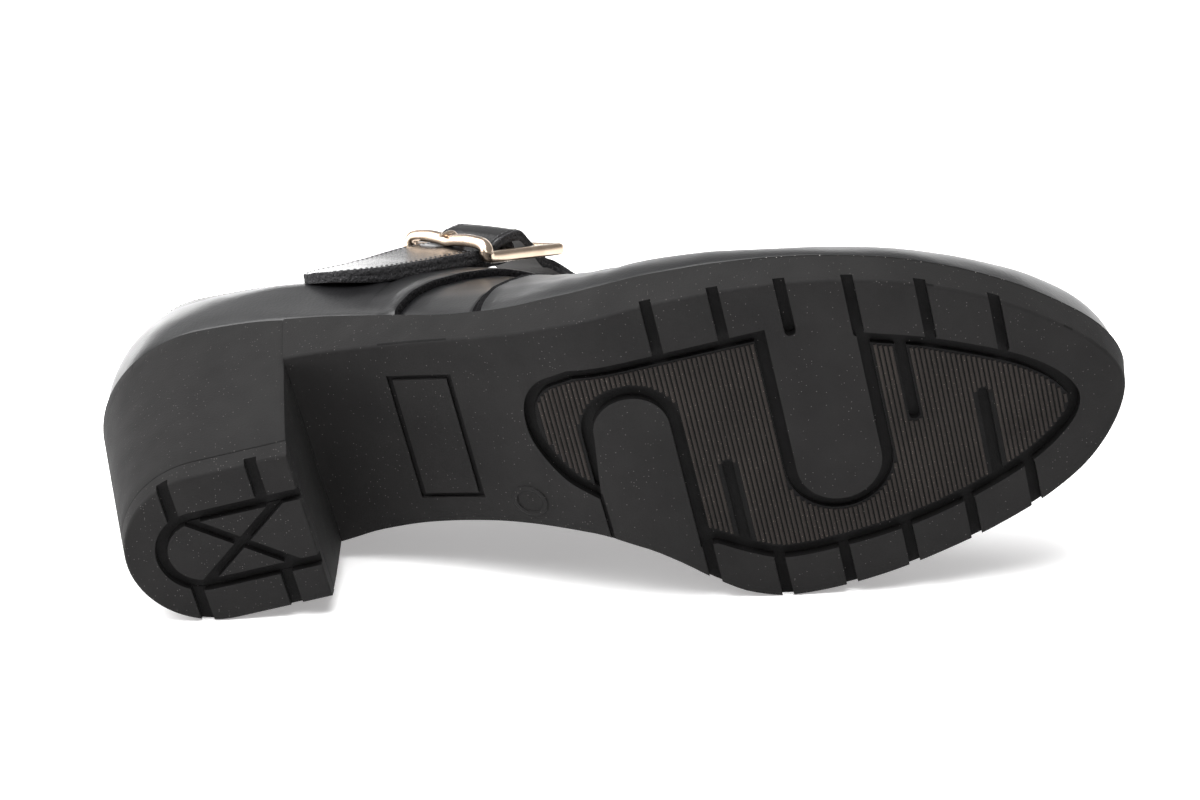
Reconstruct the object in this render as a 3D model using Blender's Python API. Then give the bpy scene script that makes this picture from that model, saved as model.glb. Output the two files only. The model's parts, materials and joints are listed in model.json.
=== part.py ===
"""A woman's right buckle shoe, size 37, lying on its inner side.

The shoe is worked out in its own axes, in millimetres: X runs from the heel to the toe, Y to the inner
(medial) side, Z up from the plane that the heel and the forefoot tread stand on. The last function turns
the whole shoe onto its inner side, where it rests on the sole's edge and the upper.
"""
import math
from functools import lru_cache

import bmesh
import bpy
import numpy as np
from mathutils import Matrix, Vector
from mathutils.bvhtree import BVHTree

MM = 0.001
LATERAL = -1
MEDIAL = 1
GAP = 0.3

# Sole: length, toe and heel rounding, edge form
BACK_X = -5.6
TOE_X = 245.8
TOE_ROUND_FROM = 160.0
TOE_ROUND_POWERS = (1.8, 0.57)
HEEL_ROUND_LENGTH = 33.0
BREAST_X = 49.0
FLARE = 1.5
EDGE_ROUND = 0.8
FLAT_BAND = 4.0
FLAT_TOP = 10.0
HEEL_STATIONS = (8, 18, 28, 34, 39, 44, 47)
SOLE_STATIONS = (53, 57, 62, 67, 72, 78, 84, 89, 94, 99, 104, 109, 114, 119, 124, 130, 145, 160, 172, 182, 190, 197,
                 204, 211, 218, 225, 231, 237, 241)

# Tread: recess, fingers, notches
RECESS_DEPTH = 1.8
NOTCH_DEPTH = 2.2
NOTCH_WIDTH = 2.7
LATERAL_FINGER = {"x": 174.0, "radius": 10.2, "end_y": 15.4}
MEDIAL_FINGER = {"x": 127.7, "radius": 10.5, "end_y": -6.0}

# Heel: bottom outline, wear piece and its grooves
HEEL_BOTTOM_BACK_X = 4.3
HEEL_BOTTOM_HALF = 20.0
HEEL_BOTTOM_CENTRE = 0.8
HEEL_BOTTOM_ROUND = 21.0
HEEL_SWELL_POWER = 0.75
TOP_PIECE_HEIGHT = 4.6
HEEL_GROOVE_WIDTH = 2.6
HEEL_GROOVE_DEPTH = 2.0
HEEL_GROOVE_Y = 9.4
HEEL_NOTCH_X = (18.5, 40.2)
HEEL_ARC_X = 22.4

# Upper: wall, panels and collar
WALL = 1.4
QUARTER_RAISE = 1.3
VAMP_RAISE = 1.0
UPPER_INSET = 3.7
QUARTER_EDGE = (78.0, 94.0)
VAMP_EDGE = (98.0, 101.0)
EDGE_SWEEP = 1.5
THROAT_X = 70.0
COLLAR_BACK_X = 5.0
COLLAR_FRONT_X = 88.0
COLLAR_HALF = 17.0
COLLAR_REAR_POWERS = (2.4, 0.5)
COLLAR_FRONT_POWERS = (2.0, 0.75)
PANEL_STEP = 0.35
RIB_ROWS = 11

INSOLE_INSET = 4.3
INSOLE_THICKNESS = 2.4

# Strap and buckle
STRAP_WIDTH = 21.0
STRAP_THICKNESS = 2.8
STRAP_CLEAR = 0.5
STRAP_SPANS = 30
STRAP_ACROSS = 6
BAR_RADIUS = 1.1
BUCKLE_HALF_WIDTH = 14.0
PRONG_RADIUS = 0.75


class Table:
    """Rows of sizes with named columns, read by a smooth curve through the rows."""

    def __init__(self, columns, rows):
        self.key = columns[0]
        self.values = {name: np.array(column, float) for name, column in zip(columns, zip(*rows))}

    def at(self, name, x):
        xs = self.values[self.key]
        ys = self.values[name]
        gaps = np.diff(xs)
        slopes = np.diff(ys) / gaps
        product = slopes[:-1] * slopes[1:]
        total = slopes[:-1] + slopes[1:]
        inner = np.divide(2 * product, total, out=np.zeros_like(product), where=product > 0)
        tangents = np.concatenate((slopes[:1], inner, slopes[-1:]))
        row = np.clip(np.searchsorted(xs, x) - 1, 0, len(gaps) - 1)
        t = np.clip((x - xs[row]) / gaps[row], 0.0, 1.0)
        start = ys[row] * (1 + 2 * t) * (1 - t) ** 2 + ys[row + 1] * t * t * (3 - 2 * t)
        bend = tangents[row] * t * (1 - t) ** 2 - tangents[row + 1] * t * t * (1 - t)
        return start + gaps[row] * bend


# Outline of the sole at its joint with the upper, before the toe and heel are rounded
PLAN = Table(("x", "centre", "half"), (
    (-5, 0.3, 28.7), (38, 0.1, 28.7), (50, -0.5, 28.5), (60, -2.1, 27.7), (74, -4.0, 27.1),
    (88, -5.4, 27.3), (100, -6.2, 28.1), (112, -6.1, 30.0), (124, -4.0, 33.3), (131, -1.4, 36.3),
    (138, 1.8, 39.8), (146, 4.9, 42.7), (156, 6.9, 44.2), (168, 7.8, 44.2), (192, 9.1, 44.2),
    (208, 11.0, 44.2), (224, 13.8, 44.2), (236, 15.8, 44.2), (245, 16.2, 44.2)))

# Heights of the sole's underside and of its joint with the upper
PROFILE = Table(("x", "under", "joint"), (
    (-5, 33.4, 57.5), (15, 33.4, 57.0), (30, 33.4, 55.8), (40, 33.4, 54.2), (49, 33.2, 51.2),
    (58, 30.9, 47.0), (64, 28.6, 43.5), (76, 23.2, 36.0), (89, 16.4, 27.0), (98, 11.2, 21.8),
    (107, 6.6, 17.8), (115, 3.1, 15.2), (123, 0.6, 13.8), (129, 0.0, 13.3), (140, 0.0, 12.8),
    (156, 0.0, 12.0), (178, 0.0, 10.7), (188, 0.2, 10.2), (200, 1.0, 10.6), (213, 2.5, 12.0),
    (225, 4.4, 14.2), (236, 6.8, 16.8), (245, 9.0, 19.0)))

# Edge of the recess at the waist, and round the front of the tread
RECESS_REAR = ((117.2, 12.8), (109.7, 6.3), (104.6, -4.3), (104.2, -15.7), (108.2, -21.4), (115.0, -23.6))
RECESS_CORNER = (163.9, -23.4)
RECESS_FRONT = ((184.2, -17.6), (201.0, -11.0), (217.5, -2.0), (226.6, 5.1), (231.8, 12.0), (232.6, 17.5),
                (228.8, 23.0), (218.5, 29.2), (202.2, 34.3), (186.6, 37.4), (170.5, 38.8), (157.0, 38.4),
                (149.0, 35.0), (141.5, 30.2))

# Edge notches: where each one lies along the sole, and how far in it reaches
NOTCHES = Table(("row", "lateral_x", "lateral_y", "medial_x", "medial_y"), (
    (0, 138.7, -22.0, 139.0, 29.0), (1, 154.3, -22.0, 155.0, 37.0), (2, 169.6, -20.3, 170.7, 38.0),
    (3, 184.9, -16.0, 186.4, 36.5), (4, 201.0, -10.0, 202.3, 33.5), (5, 217.1, -1.5, 218.0, 28.5)))

# Ribs of the last: where each one leaves the sole, where it ends, and its directions at both ends
RIBS = Table(("foot_x", "top_x", "out_lateral", "out_medial", "up", "forward", "inward", "rise"), (
    (-5.6, 5.0, 8, 8, 48, 0, 10, 46), (8, 14.5, 8, 24, 46, 0, 14, 42), (25, 32.0, 7, 34, 42, 2, 18, 36),
    (45, 53.0, 5, 34, 39, 6, 20, 32), (60, 71.0, 4, 24, 40, 14, 24, 28), (70, 88.0, 3, 12, 46, 22, 22, 0),
    (78, 99.0, 3, 13, 47, 24, 24, 0), (98, 120.0, 3, 14, 51, 20, 29, 0), (120, 138.0, 5, 10, 45, 12, 39, 0),
    (150, 161.0, 8, 8, 38, 6, 50, 0), (185, 189.0, 7, 7, 31, 0, 50, 0), (215, 209.0, 9, 7, 43, -4, 38, 0),
    (235, 221.0, 10, 7, 52, -4, 28, 0), (245.8, 227.0, 9, 9, 46, 0, 22, 0)))

# Collar edge behind the throat, and the ridge of the instep and vamp in front of it
COLLAR = Table(("x", "height"), (
    (5, 107.0), (15, 102.0), (30, 93.5), (45, 88.5), (58, 85.0), (70, 85.5), (80, 92.5), (88, 104.0)))
RIDGE = Table(("x", "y", "height"), (
    (5, 0.3, 104.0), (80, 0.0, 104.0), (88, 0.0, 104.0), (97, 0.0, 98.5), (108, 0.8, 91.0), (121, 1.8, 82.5),
    (140, 5.0, 72.5), (160, 8.5, 63.5), (180, 10.5, 55.5), (200, 12.0, 48.5), (215, 13.5, 43.5), (227, 14.5, 39.5)))

# Middle line of the strap from its sewn end on the inner side to its tip, and its direction across, backwards
STRAP = Table(("along", "x", "y", "z", "back_x", "back_y", "back_z"), (
    (0.0, 118.0, 24.5, 70.0, -0.95, 0.29, 0.09), (0.072, 117.7, 25.0, 83.0, -0.95, 0.30, 0.12),
    (0.14, 116.3, 23.5, 95.0, -0.92, 0.32, 0.25), (0.206, 113.3, 20.0, 105.5, -0.86, 0.28, 0.42),
    (0.265, 109.2, 14.0, 112.5, -0.80, 0.20, 0.56), (0.345, 103.4, 5.0, 114.6, -0.746, 0.043, 0.664),
    (0.40, 99.2, -1.2, 111.3, -0.746, 0.043, 0.664), (0.456, 95.0, -4.9, 106.9, -0.746, 0.043, 0.664),
    (0.572, 86.8, -11.7, 98.0, -0.746, 0.043, 0.664), (0.785, 72.0, -19.6, 82.0, -0.764, 0.11, 0.625),
    (1.0, 57.2, -27.5, 66.0, -0.782, 0.178, 0.586)))
STRAP_BUMP = Table(("along", "lift"), (
    (0.0, 0.0), (0.36, 0.0), (0.40, 2.0), (0.445, 5.6), (0.49, 4.2), (0.53, 1.2), (0.56, 0.0), (1.0, 0.0)))
END_BAR_AT = 0.572
BUCKLE_LENGTH = 27.9


def mix(a, b, t):
    return a + (b - a) * t


def loop_x(along):
    """Distance from the heel for a place on the sole's loop: 0 at the back, 1 at the toe."""
    return BACK_X + (TOE_X - BACK_X) * (0.5 - 0.5 * math.cos(math.pi * along))


def loop_along(x):
    return math.acos(1 - 2 * (x - BACK_X) / (TOE_X - BACK_X)) / math.pi


def plan_half(x):
    half = PLAN.at("half", x)
    toe = min(max((x - TOE_ROUND_FROM) / (TOE_X - TOE_ROUND_FROM), 0.0), 1.0)
    heel = min(max(1 - (x - BACK_X) / HEEL_ROUND_LENGTH, 0.0), 1.0)
    power, root = TOE_ROUND_POWERS
    return half * (1 - toe ** power) ** root * math.sqrt(1 - heel * heel)


def plan_point(turn):
    """Point on the sole's loop: turn 0 at the back, 1 at the toe, 2 at the back again."""
    turn = turn % 2.0
    side = LATERAL if turn <= 1 else MEDIAL
    x = loop_x(turn if turn <= 1 else 2 - turn)
    return np.array((x, PLAN.at("centre", x) + side * plan_half(x)))


def plan_normal(turn):
    ahead = plan_point(turn + 0.002) - plan_point(turn - 0.002)
    normal = np.array((ahead[1], -ahead[0]))
    return normal / np.linalg.norm(normal)


def inset_point(turn, inset):
    return plan_point(turn) - inset * plan_normal(turn)


def smooth_path(points, spans):
    """Points on a rounded curve through the given ones."""
    points = [np.array(p, float) for p in points]
    padded = [2 * points[0] - points[1]] + points + [2 * points[-1] - points[-2]]
    path = []
    for i in range(1, len(padded) - 2):
        a, b, c, d = padded[i - 1:i + 3]
        for t in np.arange(spans) / spans:
            path.append(0.5 * (2 * b + (c - a) * t + (2 * a - 5 * b + 4 * c - d) * t ** 2
                               + (3 * b - a - 3 * c + d) * t ** 3))
    path.append(points[-1])
    return path


def arc(x, y, radius, start_deg, end_deg, steps):
    angles = np.radians(np.linspace(start_deg, end_deg, steps + 1))
    return [np.array((x + radius * math.cos(a), y + radius * math.sin(a))) for a in angles]


def material(name, colour, roughness, metallic=0.0):
    made = bpy.data.materials.new(name)
    made.use_nodes = True
    shader = made.node_tree.nodes["Principled BSDF"]
    shader.inputs["Base Color"].default_value = (*colour, 1.0)
    shader.inputs["Roughness"].default_value = roughness
    shader.inputs["Metallic"].default_value = metallic
    return made


def add_object(name, bm, collection, finish=None):
    """Turn a bmesh in millimetres into a named object in metres."""
    bmesh.ops.scale(bm, vec=(MM, MM, MM), verts=bm.verts)
    mesh = bpy.data.meshes.new(name)
    bm.to_mesh(mesh)
    bm.free()
    made = bpy.data.objects.new(name, mesh)
    collection.objects.link(made)
    if finish:
        mesh.materials.append(finish)
    else:
        made.hide_render = True
        made.display_type = "WIRE"
    return made


def loft(rings):
    """Closed solid through rings of points, with a flat cap at each end."""
    bm = bmesh.new()
    loops = [[bm.verts.new(p) for p in ring] for ring in rings]
    count = len(loops[0])
    for low, high in zip(loops, loops[1:]):
        for i in range(count):
            j = (i + 1) % count
            bm.faces.new((low[i], low[j], high[j], high[i]))
    bm.faces.new(reversed(loops[0]))
    bm.faces.new(loops[-1])
    bmesh.ops.recalc_face_normals(bm, faces=bm.faces)
    return bm


def prism(outline, low, high):
    return loft([[(p[0], p[1], z) for p in outline] for z in (low, high)])


def strip(points, width):
    """Outline of a groove of one width along a line of points."""
    points = [np.array(p, float) for p in points]
    left = []
    right = []
    for i, point in enumerate(points):
        ahead = points[min(i + 1, len(points) - 1)] - points[max(i - 1, 0)]
        side = np.array((-ahead[1], ahead[0])) / np.linalg.norm(ahead) * width / 2
        left.append(point + side)
        right.append(point - side)
    return left + right[::-1]


def baked(made):
    """Mesh of an object with its modifiers worked in, as a bmesh in millimetres."""
    graph = bpy.context.evaluated_depsgraph_get()
    mesh = bpy.data.meshes.new_from_object(made.evaluated_get(graph))
    bm = bmesh.new()
    bm.from_mesh(mesh)
    bpy.data.meshes.remove(mesh)
    bmesh.ops.scale(bm, vec=(1 / MM, 1 / MM, 1 / MM), verts=bm.verts)
    return bm


def carve(name, body, cutters, collection):
    """Cut a list of outlines, each with its depth, out of the flat underside of a body."""
    bmesh.ops.triangulate(body, faces=body.faces)
    blank = add_object(name + "_blank", body, collection)
    for i, (outline, depth) in enumerate(cutters):
        tool = add_object(f"{name}_cutter_{i}", prism(outline, -5.0, depth), collection)
        cut = blank.modifiers.new(tool.name, "BOOLEAN")
        cut.operation = "DIFFERENCE"
        cut.object = tool
    bm = baked(blank)
    bmesh.ops.remove_doubles(bm, verts=bm.verts, dist=0.002)
    return bm


def split_along(bm, stations):
    """Add an edge loop at each station, so that the flat form can be bent along its length."""
    for x in stations:
        bmesh.ops.bisect_plane(bm, geom=bm.verts[:] + bm.edges[:] + bm.faces[:], dist=1e-5,
                               plane_co=(x, 0, 0), plane_no=(1, 0, 0))


def recess_outline():
    lateral = LATERAL_FINGER
    medial = MEDIAL_FINGER
    outline = smooth_path(RECESS_REAR, 3)
    outline.append(np.array(RECESS_CORNER))
    outline += arc(lateral["x"], lateral["end_y"], lateral["radius"], 180, 0, 12)
    outline += smooth_path(RECESS_FRONT, 2)
    outline.append(np.array((medial["x"] + medial["radius"], RECESS_FRONT[-1][1])))
    outline += arc(medial["x"], medial["end_y"], medial["radius"], 0, -180, 12)
    return outline


def notch_outlines():
    reach = 70.0
    outlines = []
    for row in range(6):
        for side, name in ((LATERAL, "lateral"), (MEDIAL, "medial")):
            x = float(NOTCHES.at(name + "_x", row))
            end = float(NOTCHES.at(name + "_y", row))
            outlines.append(strip(((x, end), (x, side * reach)), NOTCH_WIDTH))
    return outlines


def outsole_body():
    """Forefoot and waist: carved while flat, then bent to the arch and the toe spring."""
    start = loop_along(BREAST_X + GAP)
    turns = np.linspace(start, 2 - start, 97)
    rings = []
    for inset, height in ((FLARE + EDGE_ROUND, 0.0), (FLARE, EDGE_ROUND), (0.0, FLAT_TOP)):
        ring = [inset_point(turn, inset) for turn in turns]
        ring[0][0] = ring[-1][0] = BREAST_X + GAP
        rings.append([(p[0], p[1], height) for p in ring])
    cutters = [(recess_outline(), RECESS_DEPTH)]
    cutters += [(outline, NOTCH_DEPTH) for outline in notch_outlines()]
    bm = carve("outsole", loft(rings), cutters, bpy.data.collections["cutters"])
    split_along(bm, SOLE_STATIONS)
    for vert in bm.verts:
        under = float(PROFILE.at("under", vert.co.x))
        joint = float(PROFILE.at("joint", vert.co.x))
        rest = max(vert.co.z - FLAT_BAND, 0.0) / (FLAT_TOP - FLAT_BAND)
        vert.co.z = under + min(vert.co.z, FLAT_BAND) + rest * (joint - under - FLAT_BAND)
    return bm


def heel_ring(share, inset=0.0):
    """Outline of the heel at a share of its height: a straight front and a round back."""
    swell = share ** HEEL_SWELL_POWER
    back = mix(HEEL_BOTTOM_BACK_X, BACK_X, share) + inset
    half = mix(HEEL_BOTTOM_HALF, float(PLAN.at("half", 40)), swell) - inset
    centre = mix(HEEL_BOTTOM_CENTRE, float(PLAN.at("centre", 40)), swell)
    length = mix(HEEL_BOTTOM_ROUND, HEEL_ROUND_LENGTH, swell)
    front = BREAST_X - inset
    ring = []
    for turn in np.linspace(-1, 1, 33):
        x = back + (front - back) * (1 - math.cos(0.5 * math.pi * turn))
        bend = min(max(1 - (x - back) / length, 0.0), 1.0)
        ring.append((x, centre + math.copysign(half * math.sqrt(1 - bend * bend), turn)))
    return ring


def heel_block_body():
    base = TOP_PIECE_HEIGHT + GAP
    rings = []
    for share in (0.0, 0.2, 0.45, 0.7, 1.0):
        height = mix(base, float(PROFILE.at("joint", 25)), share)
        ring = heel_ring(height / float(PROFILE.at("joint", 25)))
        rings.append([(x, y, mix(base, float(PROFILE.at("joint", x)), share)) for x, y in ring])
    bm = loft(rings)
    split_along(bm, HEEL_STATIONS)
    for vert in bm.verts:
        if vert.co.z > float(PROFILE.at("joint", 49)) - 1.0:
            vert.co.z = float(PROFILE.at("joint", vert.co.x))
    return bm


def heel_groove_cutters():
    y = HEEL_GROOVE_Y
    middle = HEEL_BOTTOM_CENTRE
    arc_points = arc(HEEL_ARC_X, middle, y, 90, 270, 10)
    runner = [(60.0, middle + y)] + [tuple(p) for p in arc_points] + [(60.0, middle - y)]
    cutters = [(strip(runner, HEEL_GROOVE_WIDTH), HEEL_GROOVE_DEPTH)]
    for x in HEEL_NOTCH_X:
        for side in (LATERAL, MEDIAL):
            notch = strip(((x, middle + side * y), (x, side * 40.0)), HEEL_GROOVE_WIDTH)
            cutters.append((notch, HEEL_GROOVE_DEPTH - 0.15))
    return cutters


def heel_top_piece_body():
    heel_height = float(PROFILE.at("joint", 25))
    rings = []
    for height, inset in ((0.0, 0.6), (0.6, 0.0), (TOP_PIECE_HEIGHT, 0.0)):
        rings.append([(x, y, height) for x, y in heel_ring(height / heel_height, inset)])
    return carve("heel_top_piece", loft(rings), heel_groove_cutters(), bpy.data.collections["cutters"])


def insole_body():
    outline = [inset_point(turn, INSOLE_INSET) for turn in np.linspace(0, 2, 72, endpoint=False)]
    bm = prism(outline, GAP, GAP + INSOLE_THICKNESS)
    split_along(bm, HEEL_STATIONS + SOLE_STATIONS)
    for vert in bm.verts:
        vert.co.z += float(PROFILE.at("joint", vert.co.x))
    return bm


@lru_cache(maxsize=None)
def rib_ends(along, side):
    """Both ends of a rib of the last and its directions there: along is 0 at the heel and 1 at the toe."""
    turn = along if side == LATERAL else 2 - along
    foot_x = loop_x(along)
    foot = np.append(inset_point(turn, UPPER_INSET), 0.0)
    foot[2] = PROFILE.at("joint", foot[0]) + GAP
    outward = np.append(plan_normal(turn), 0.0)
    size = {name: float(RIBS.at(name, foot_x)) for name in RIBS.values}
    top_x = size["top_x"]
    reach = (top_x - (COLLAR_BACK_X + COLLAR_FRONT_X) / 2) / ((COLLAR_FRONT_X - COLLAR_BACK_X) / 2)
    power, root = COLLAR_REAR_POWERS if reach < 0 else COLLAR_FRONT_POWERS
    half = COLLAR_HALF * max(1 - abs(reach) ** power, 0.0) ** root
    closed = foot_x >= THROAT_X - 1e-6
    height_table = RIDGE if closed else COLLAR
    top = np.array((top_x, float(RIDGE.at("y", top_x)) + side * (0.0 if closed else half),
                    float(height_table.at("height", top_x))))
    start = size["out_lateral" if side == LATERAL else "out_medial"] * outward + np.array((0, 0, size["up"]))
    end = -size["inward"] * outward + np.array((size["forward"], 0.0, size["rise"]))
    if closed:
        fall = float(RIDGE.at("height", top_x + 1) - RIDGE.at("height", top_x - 1)) / 2
        end[2] += end[0] * fall
    return foot, top, start, end


def rib_point(along, side, height):
    """Point on the inside of the upper: height is 0 at the sole and 1 at the collar or the ridge."""
    foot, top, start, end = rib_ends(along, side)
    t = height
    return (foot * (1 + 2 * t) * (1 - t) ** 2 + top * t * t * (3 - 2 * t)
            + start * t * (1 - t) ** 2 - end * t * t * (1 - t))


def rib_normal(along, side, height):
    """Direction out of the upper, read from the points around a place on it."""
    step = 0.004
    level = min(height, 0.97)

    def beside(place):
        if place < 0:
            return rib_point(-place, -side, level)
        if place > 1:
            return rib_point(2 - place, -side, level)
        return rib_point(place, side, level)

    up = rib_point(along, side, min(height + step, 1.0)) - rib_point(along, side, max(height - step, 0.0))
    normal = np.cross(beside(along + step) - beside(along - step), up) * -side
    return normal / np.linalg.norm(normal)


def rib_columns():
    """Columns of the upper: place at the sole, place at the top, and how far the panel stands proud.

    The quarter's and the vamp's edges sweep forward, so a column may start on one rib and end on another.
    """
    throat = loop_along(THROAT_X)
    quarter, quarter_top = [loop_along(x) for x in QUARTER_EDGE]
    vamp, vamp_top = [loop_along(x) for x in VAMP_EDGE]
    step = loop_along(QUARTER_EDGE[0] + PANEL_STEP) - quarter
    columns = [(place, place, QUARTER_RAISE) for place in throat * (1 - (1 - np.linspace(0, 1, 14)) ** 1.25)]
    for t in np.linspace(0, 1, 5)[1:]:
        columns.append((mix(throat, quarter, t), mix(throat, quarter_top, t), QUARTER_RAISE))
    for t in np.linspace(0, 1, 5):
        columns.append((mix(quarter + step, vamp - step, t), mix(quarter_top + step, vamp_top - step, t), 0.0))
    for t in np.linspace(0, 1, 17):
        columns.append((mix(vamp, 1.0, t), mix(vamp_top, 1.0, t), VAMP_RAISE))
    return columns


def skin(thickness_at, flat_foot=True):
    """Grid of points at a thickness outside the last, as a dictionary, its faces and its two rims."""
    columns = rib_columns()
    last = len(columns) - 1
    heights = np.linspace(0, 1, RIB_ROWS)
    throat = loop_along(THROAT_X) - 1e-6

    def key(side, i, j):
        if i in (0, last) or (j == RIB_ROWS - 1 and columns[i][0] >= throat):
            side = 0
        return side, i, j

    points = {}
    for side in (LATERAL, MEDIAL):
        for i, (foot, top, proud) in enumerate(columns):
            for j, height in enumerate(heights):
                along = mix(foot, top, height ** EDGE_SWEEP)
                point = rib_point(along, side, height) + thickness_at(proud) * rib_normal(along, side, height)
                if j == 0 and flat_foot:
                    point[2] = float(PROFILE.at("joint", point[0])) + GAP
                points.setdefault(key(side, i, j), []).append(point)
    points = {k: np.mean(v, axis=0) for k, v in points.items()}
    faces = []
    rims = [[], []]
    for side in (LATERAL, MEDIAL):
        for i in range(last):
            for j in range(RIB_ROWS - 1):
                corners = [key(side, i, j), key(side, i + 1, j), key(side, i + 1, j + 1), key(side, i, j + 1)]
                faces.append(corners if side == LATERAL else corners[::-1])
            rims[0].append((key(side, i, 0), key(side, i + 1, 0)))
            if columns[i + 1][0] <= throat + 2e-6:
                rims[1].append((key(side, i, RIB_ROWS - 1), key(side, i + 1, RIB_ROWS - 1)))
    return points, faces, rims


def upper_body():
    """One hollow wall: the last's own skin inside, raised panels outside, open at collar and sole."""
    inner, faces, rims = skin(lambda proud: 0.0)
    outer, _, _ = skin(lambda proud: WALL + proud)
    bm = bmesh.new()
    inside = {k: bm.verts.new(p) for k, p in inner.items()}
    outside = {k: bm.verts.new(p) for k, p in outer.items()}
    for corners in faces:
        bm.faces.new([outside[k] for k in corners])
        bm.faces.new([inside[k] for k in reversed(corners)])
    for rim in rims:
        for a, b in rim:
            bm.faces.new((outside[a], outside[b], inside[b], inside[a]))
    bmesh.ops.recalc_face_normals(bm, faces=bm.faces)
    return bm


class StrapPath:
    """Places on and above the strap, which keeps its own arch and is lifted where the upper is in its way."""

    def __init__(self):
        points, faces, _ = skin(lambda proud: WALL + QUARTER_RAISE, flat_foot=False)
        order = {k: i for i, k in enumerate(points)}
        self.tree = BVHTree.FromPolygons([Vector(p) for p in points.values()],
                                         [[order[k] for k in corners] for corners in faces])
        self.stations = np.linspace(0, 1, 61)
        lifts = np.array([self.skin_height(along) for along in self.stations])
        for _ in range(2):
            lifts[1:-1] = np.maximum(np.maximum(lifts[:-2], lifts[2:]), lifts[1:-1])
        for _ in range(40):
            lifts[1:-1] = (lifts[:-2] + 2 * lifts[1:-1] + lifts[2:]) / 4
        self.lifts = lifts

    def axes(self, along):
        """Middle of the strap with its directions across, towards the heel, and outwards."""
        def middle(share):
            return np.array([STRAP.at(name, share) for name in ("x", "y", "z")])

        ahead = middle(min(along + 0.02, 1.0)) - middle(max(along - 0.02, 0.0))
        ahead /= np.linalg.norm(ahead)
        across = np.array([STRAP.at(name, along) for name in ("back_x", "back_y", "back_z")])
        across -= ahead * across.dot(ahead)
        across /= np.linalg.norm(across)
        return middle(along), across, np.cross(across, ahead)

    def skin_height(self, along):
        """Height of the upper above the strap's middle line, where the upper would run into the strap."""
        middle, across, outward = self.axes(along)
        heights = [0.0]
        for offset in np.linspace(-STRAP_WIDTH / 2, STRAP_WIDTH / 2, 9):
            start = middle + offset * across + 30 * outward
            hit = self.tree.ray_cast(Vector(start), Vector(-outward), 60.0)
            if hit[0] is not None:
                heights.append(30 - hit[3])
        return max(heights)

    def point(self, along, offset, height, bump=True):
        """Along 0 to 1, offset across in millimetres towards the heel, height above the upper."""
        middle, across, outward = self.axes(along)
        lift = float(np.interp(along, self.stations, self.lifts)) + STRAP_CLEAR + height
        if bump:
            lift += float(STRAP_BUMP.at("lift", along))
        return middle + offset * across + lift * outward


def strap_half_width(along):
    """Half width of the strap, rounded off at its tip."""
    tip = max((along - 0.9) / 0.1, 0.0)
    return STRAP_WIDTH / 2 * math.sqrt(1 - 0.86 * tip ** 3)


def strap_body(path):
    rings = []
    for along in np.linspace(0, 1, STRAP_SPANS + 1):
        half = strap_half_width(along)
        sides = np.linspace(-half, half, STRAP_ACROSS + 1)
        low = [path.point(along, offset, 0.0) for offset in sides]
        high = [path.point(along, offset, STRAP_THICKNESS) for offset in sides[::-1]]
        rings.append(low + high)
    return loft(rings)


def tube(name, points, radius, closed=False):
    """Round bar along a line of points, as a bmesh with closed ends."""
    curve = bpy.data.curves.new(name, "CURVE")
    curve.dimensions = "3D"
    curve.bevel_depth = radius * MM
    curve.bevel_resolution = 2
    curve.use_fill_caps = not closed
    spline = curve.splines.new("POLY")
    spline.points.add(len(points) - 1)
    spline.use_cyclic_u = closed
    for place, point in zip(spline.points, points):
        place.co = (*(np.array(point) * MM), 1.0)
    made = bpy.data.objects.new(name, curve)
    bpy.data.collections["cutters"].objects.link(made)
    bm = baked(made)
    bmesh.ops.remove_doubles(bm, verts=bm.verts, dist=1e-4)
    bpy.data.objects.remove(made)
    return bm


def buckle_place(path, share, offset, height):
    """Place on the stiff buckle: share of the way from end bar to front bar, offset across, height above."""
    end = path.point(END_BAR_AT, 0.0, 0.0, False)
    _, across, outward = path.axes(END_BAR_AT)
    return end + share * BUCKLE_LENGTH * np.cross(across, outward) + offset * across + height * outward


def buckle_frame_body(path):
    """Closed flat frame of round bar: end and front bar lie over the strap, the centre bar runs below it."""
    half = BUCKLE_HALF_WIDTH
    over = STRAP_THICKNESS + BAR_RADIUS + GAP
    low = BAR_RADIUS + GAP
    humps = ((1.0, 0.45), (0.94, 0.95), (0.8, 1.2), (0.5, 1.3), (0.2, 1.15), (0.0, 0.98))
    end_bar = [(-share * half, rise * over) for share, rise in humps]
    end_bar += [(share * half, rise * over) for share, rise in humps[-2::-1]]
    loop = [buckle_place(path, 0.0, offset, height) for offset, height in end_bar]
    front_bar = [(0.06, half), (0.5, half), (0.94, half), (1.0, half * 0.94), (1.0, 0.0), (1.0, -half * 0.94),
                 (0.94, -half), (0.5, -half), (0.06, -half)]
    loop += [buckle_place(path, share, offset, low) for share, offset in front_bar]
    tools = bpy.data.collections["cutters"]
    frame = add_object("frame_loop", tube("loop", loop, BAR_RADIUS, closed=True), tools)
    bar = [buckle_place(path, 0.5, offset, low) for offset in (-half, -half / 2, 0.0, half / 2, half)]
    tool = add_object("frame_bar", tube("bar", bar, BAR_RADIUS * 0.9), tools)
    join = frame.modifiers.new("join", "BOOLEAN")
    join.operation = "UNION"
    join.object = tool
    return baked(frame)


def buckle_prong_body(path):
    above = STRAP_THICKNESS + PRONG_RADIUS + GAP
    over = STRAP_THICKNESS + 2 * BAR_RADIUS + PRONG_RADIUS + 2 * GAP
    places = ((END_BAR_AT - 0.04, above, True), (END_BAR_AT - 0.028, above + 0.5, True), (END_BAR_AT - 0.012, over, False),
              (END_BAR_AT + 0.004, over, False), (END_BAR_AT + 0.024, over - 0.3, False))
    return tube("prong", [path.point(along, 0.0, height, bump) for along, height, bump in places], PRONG_RADIUS)


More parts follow.
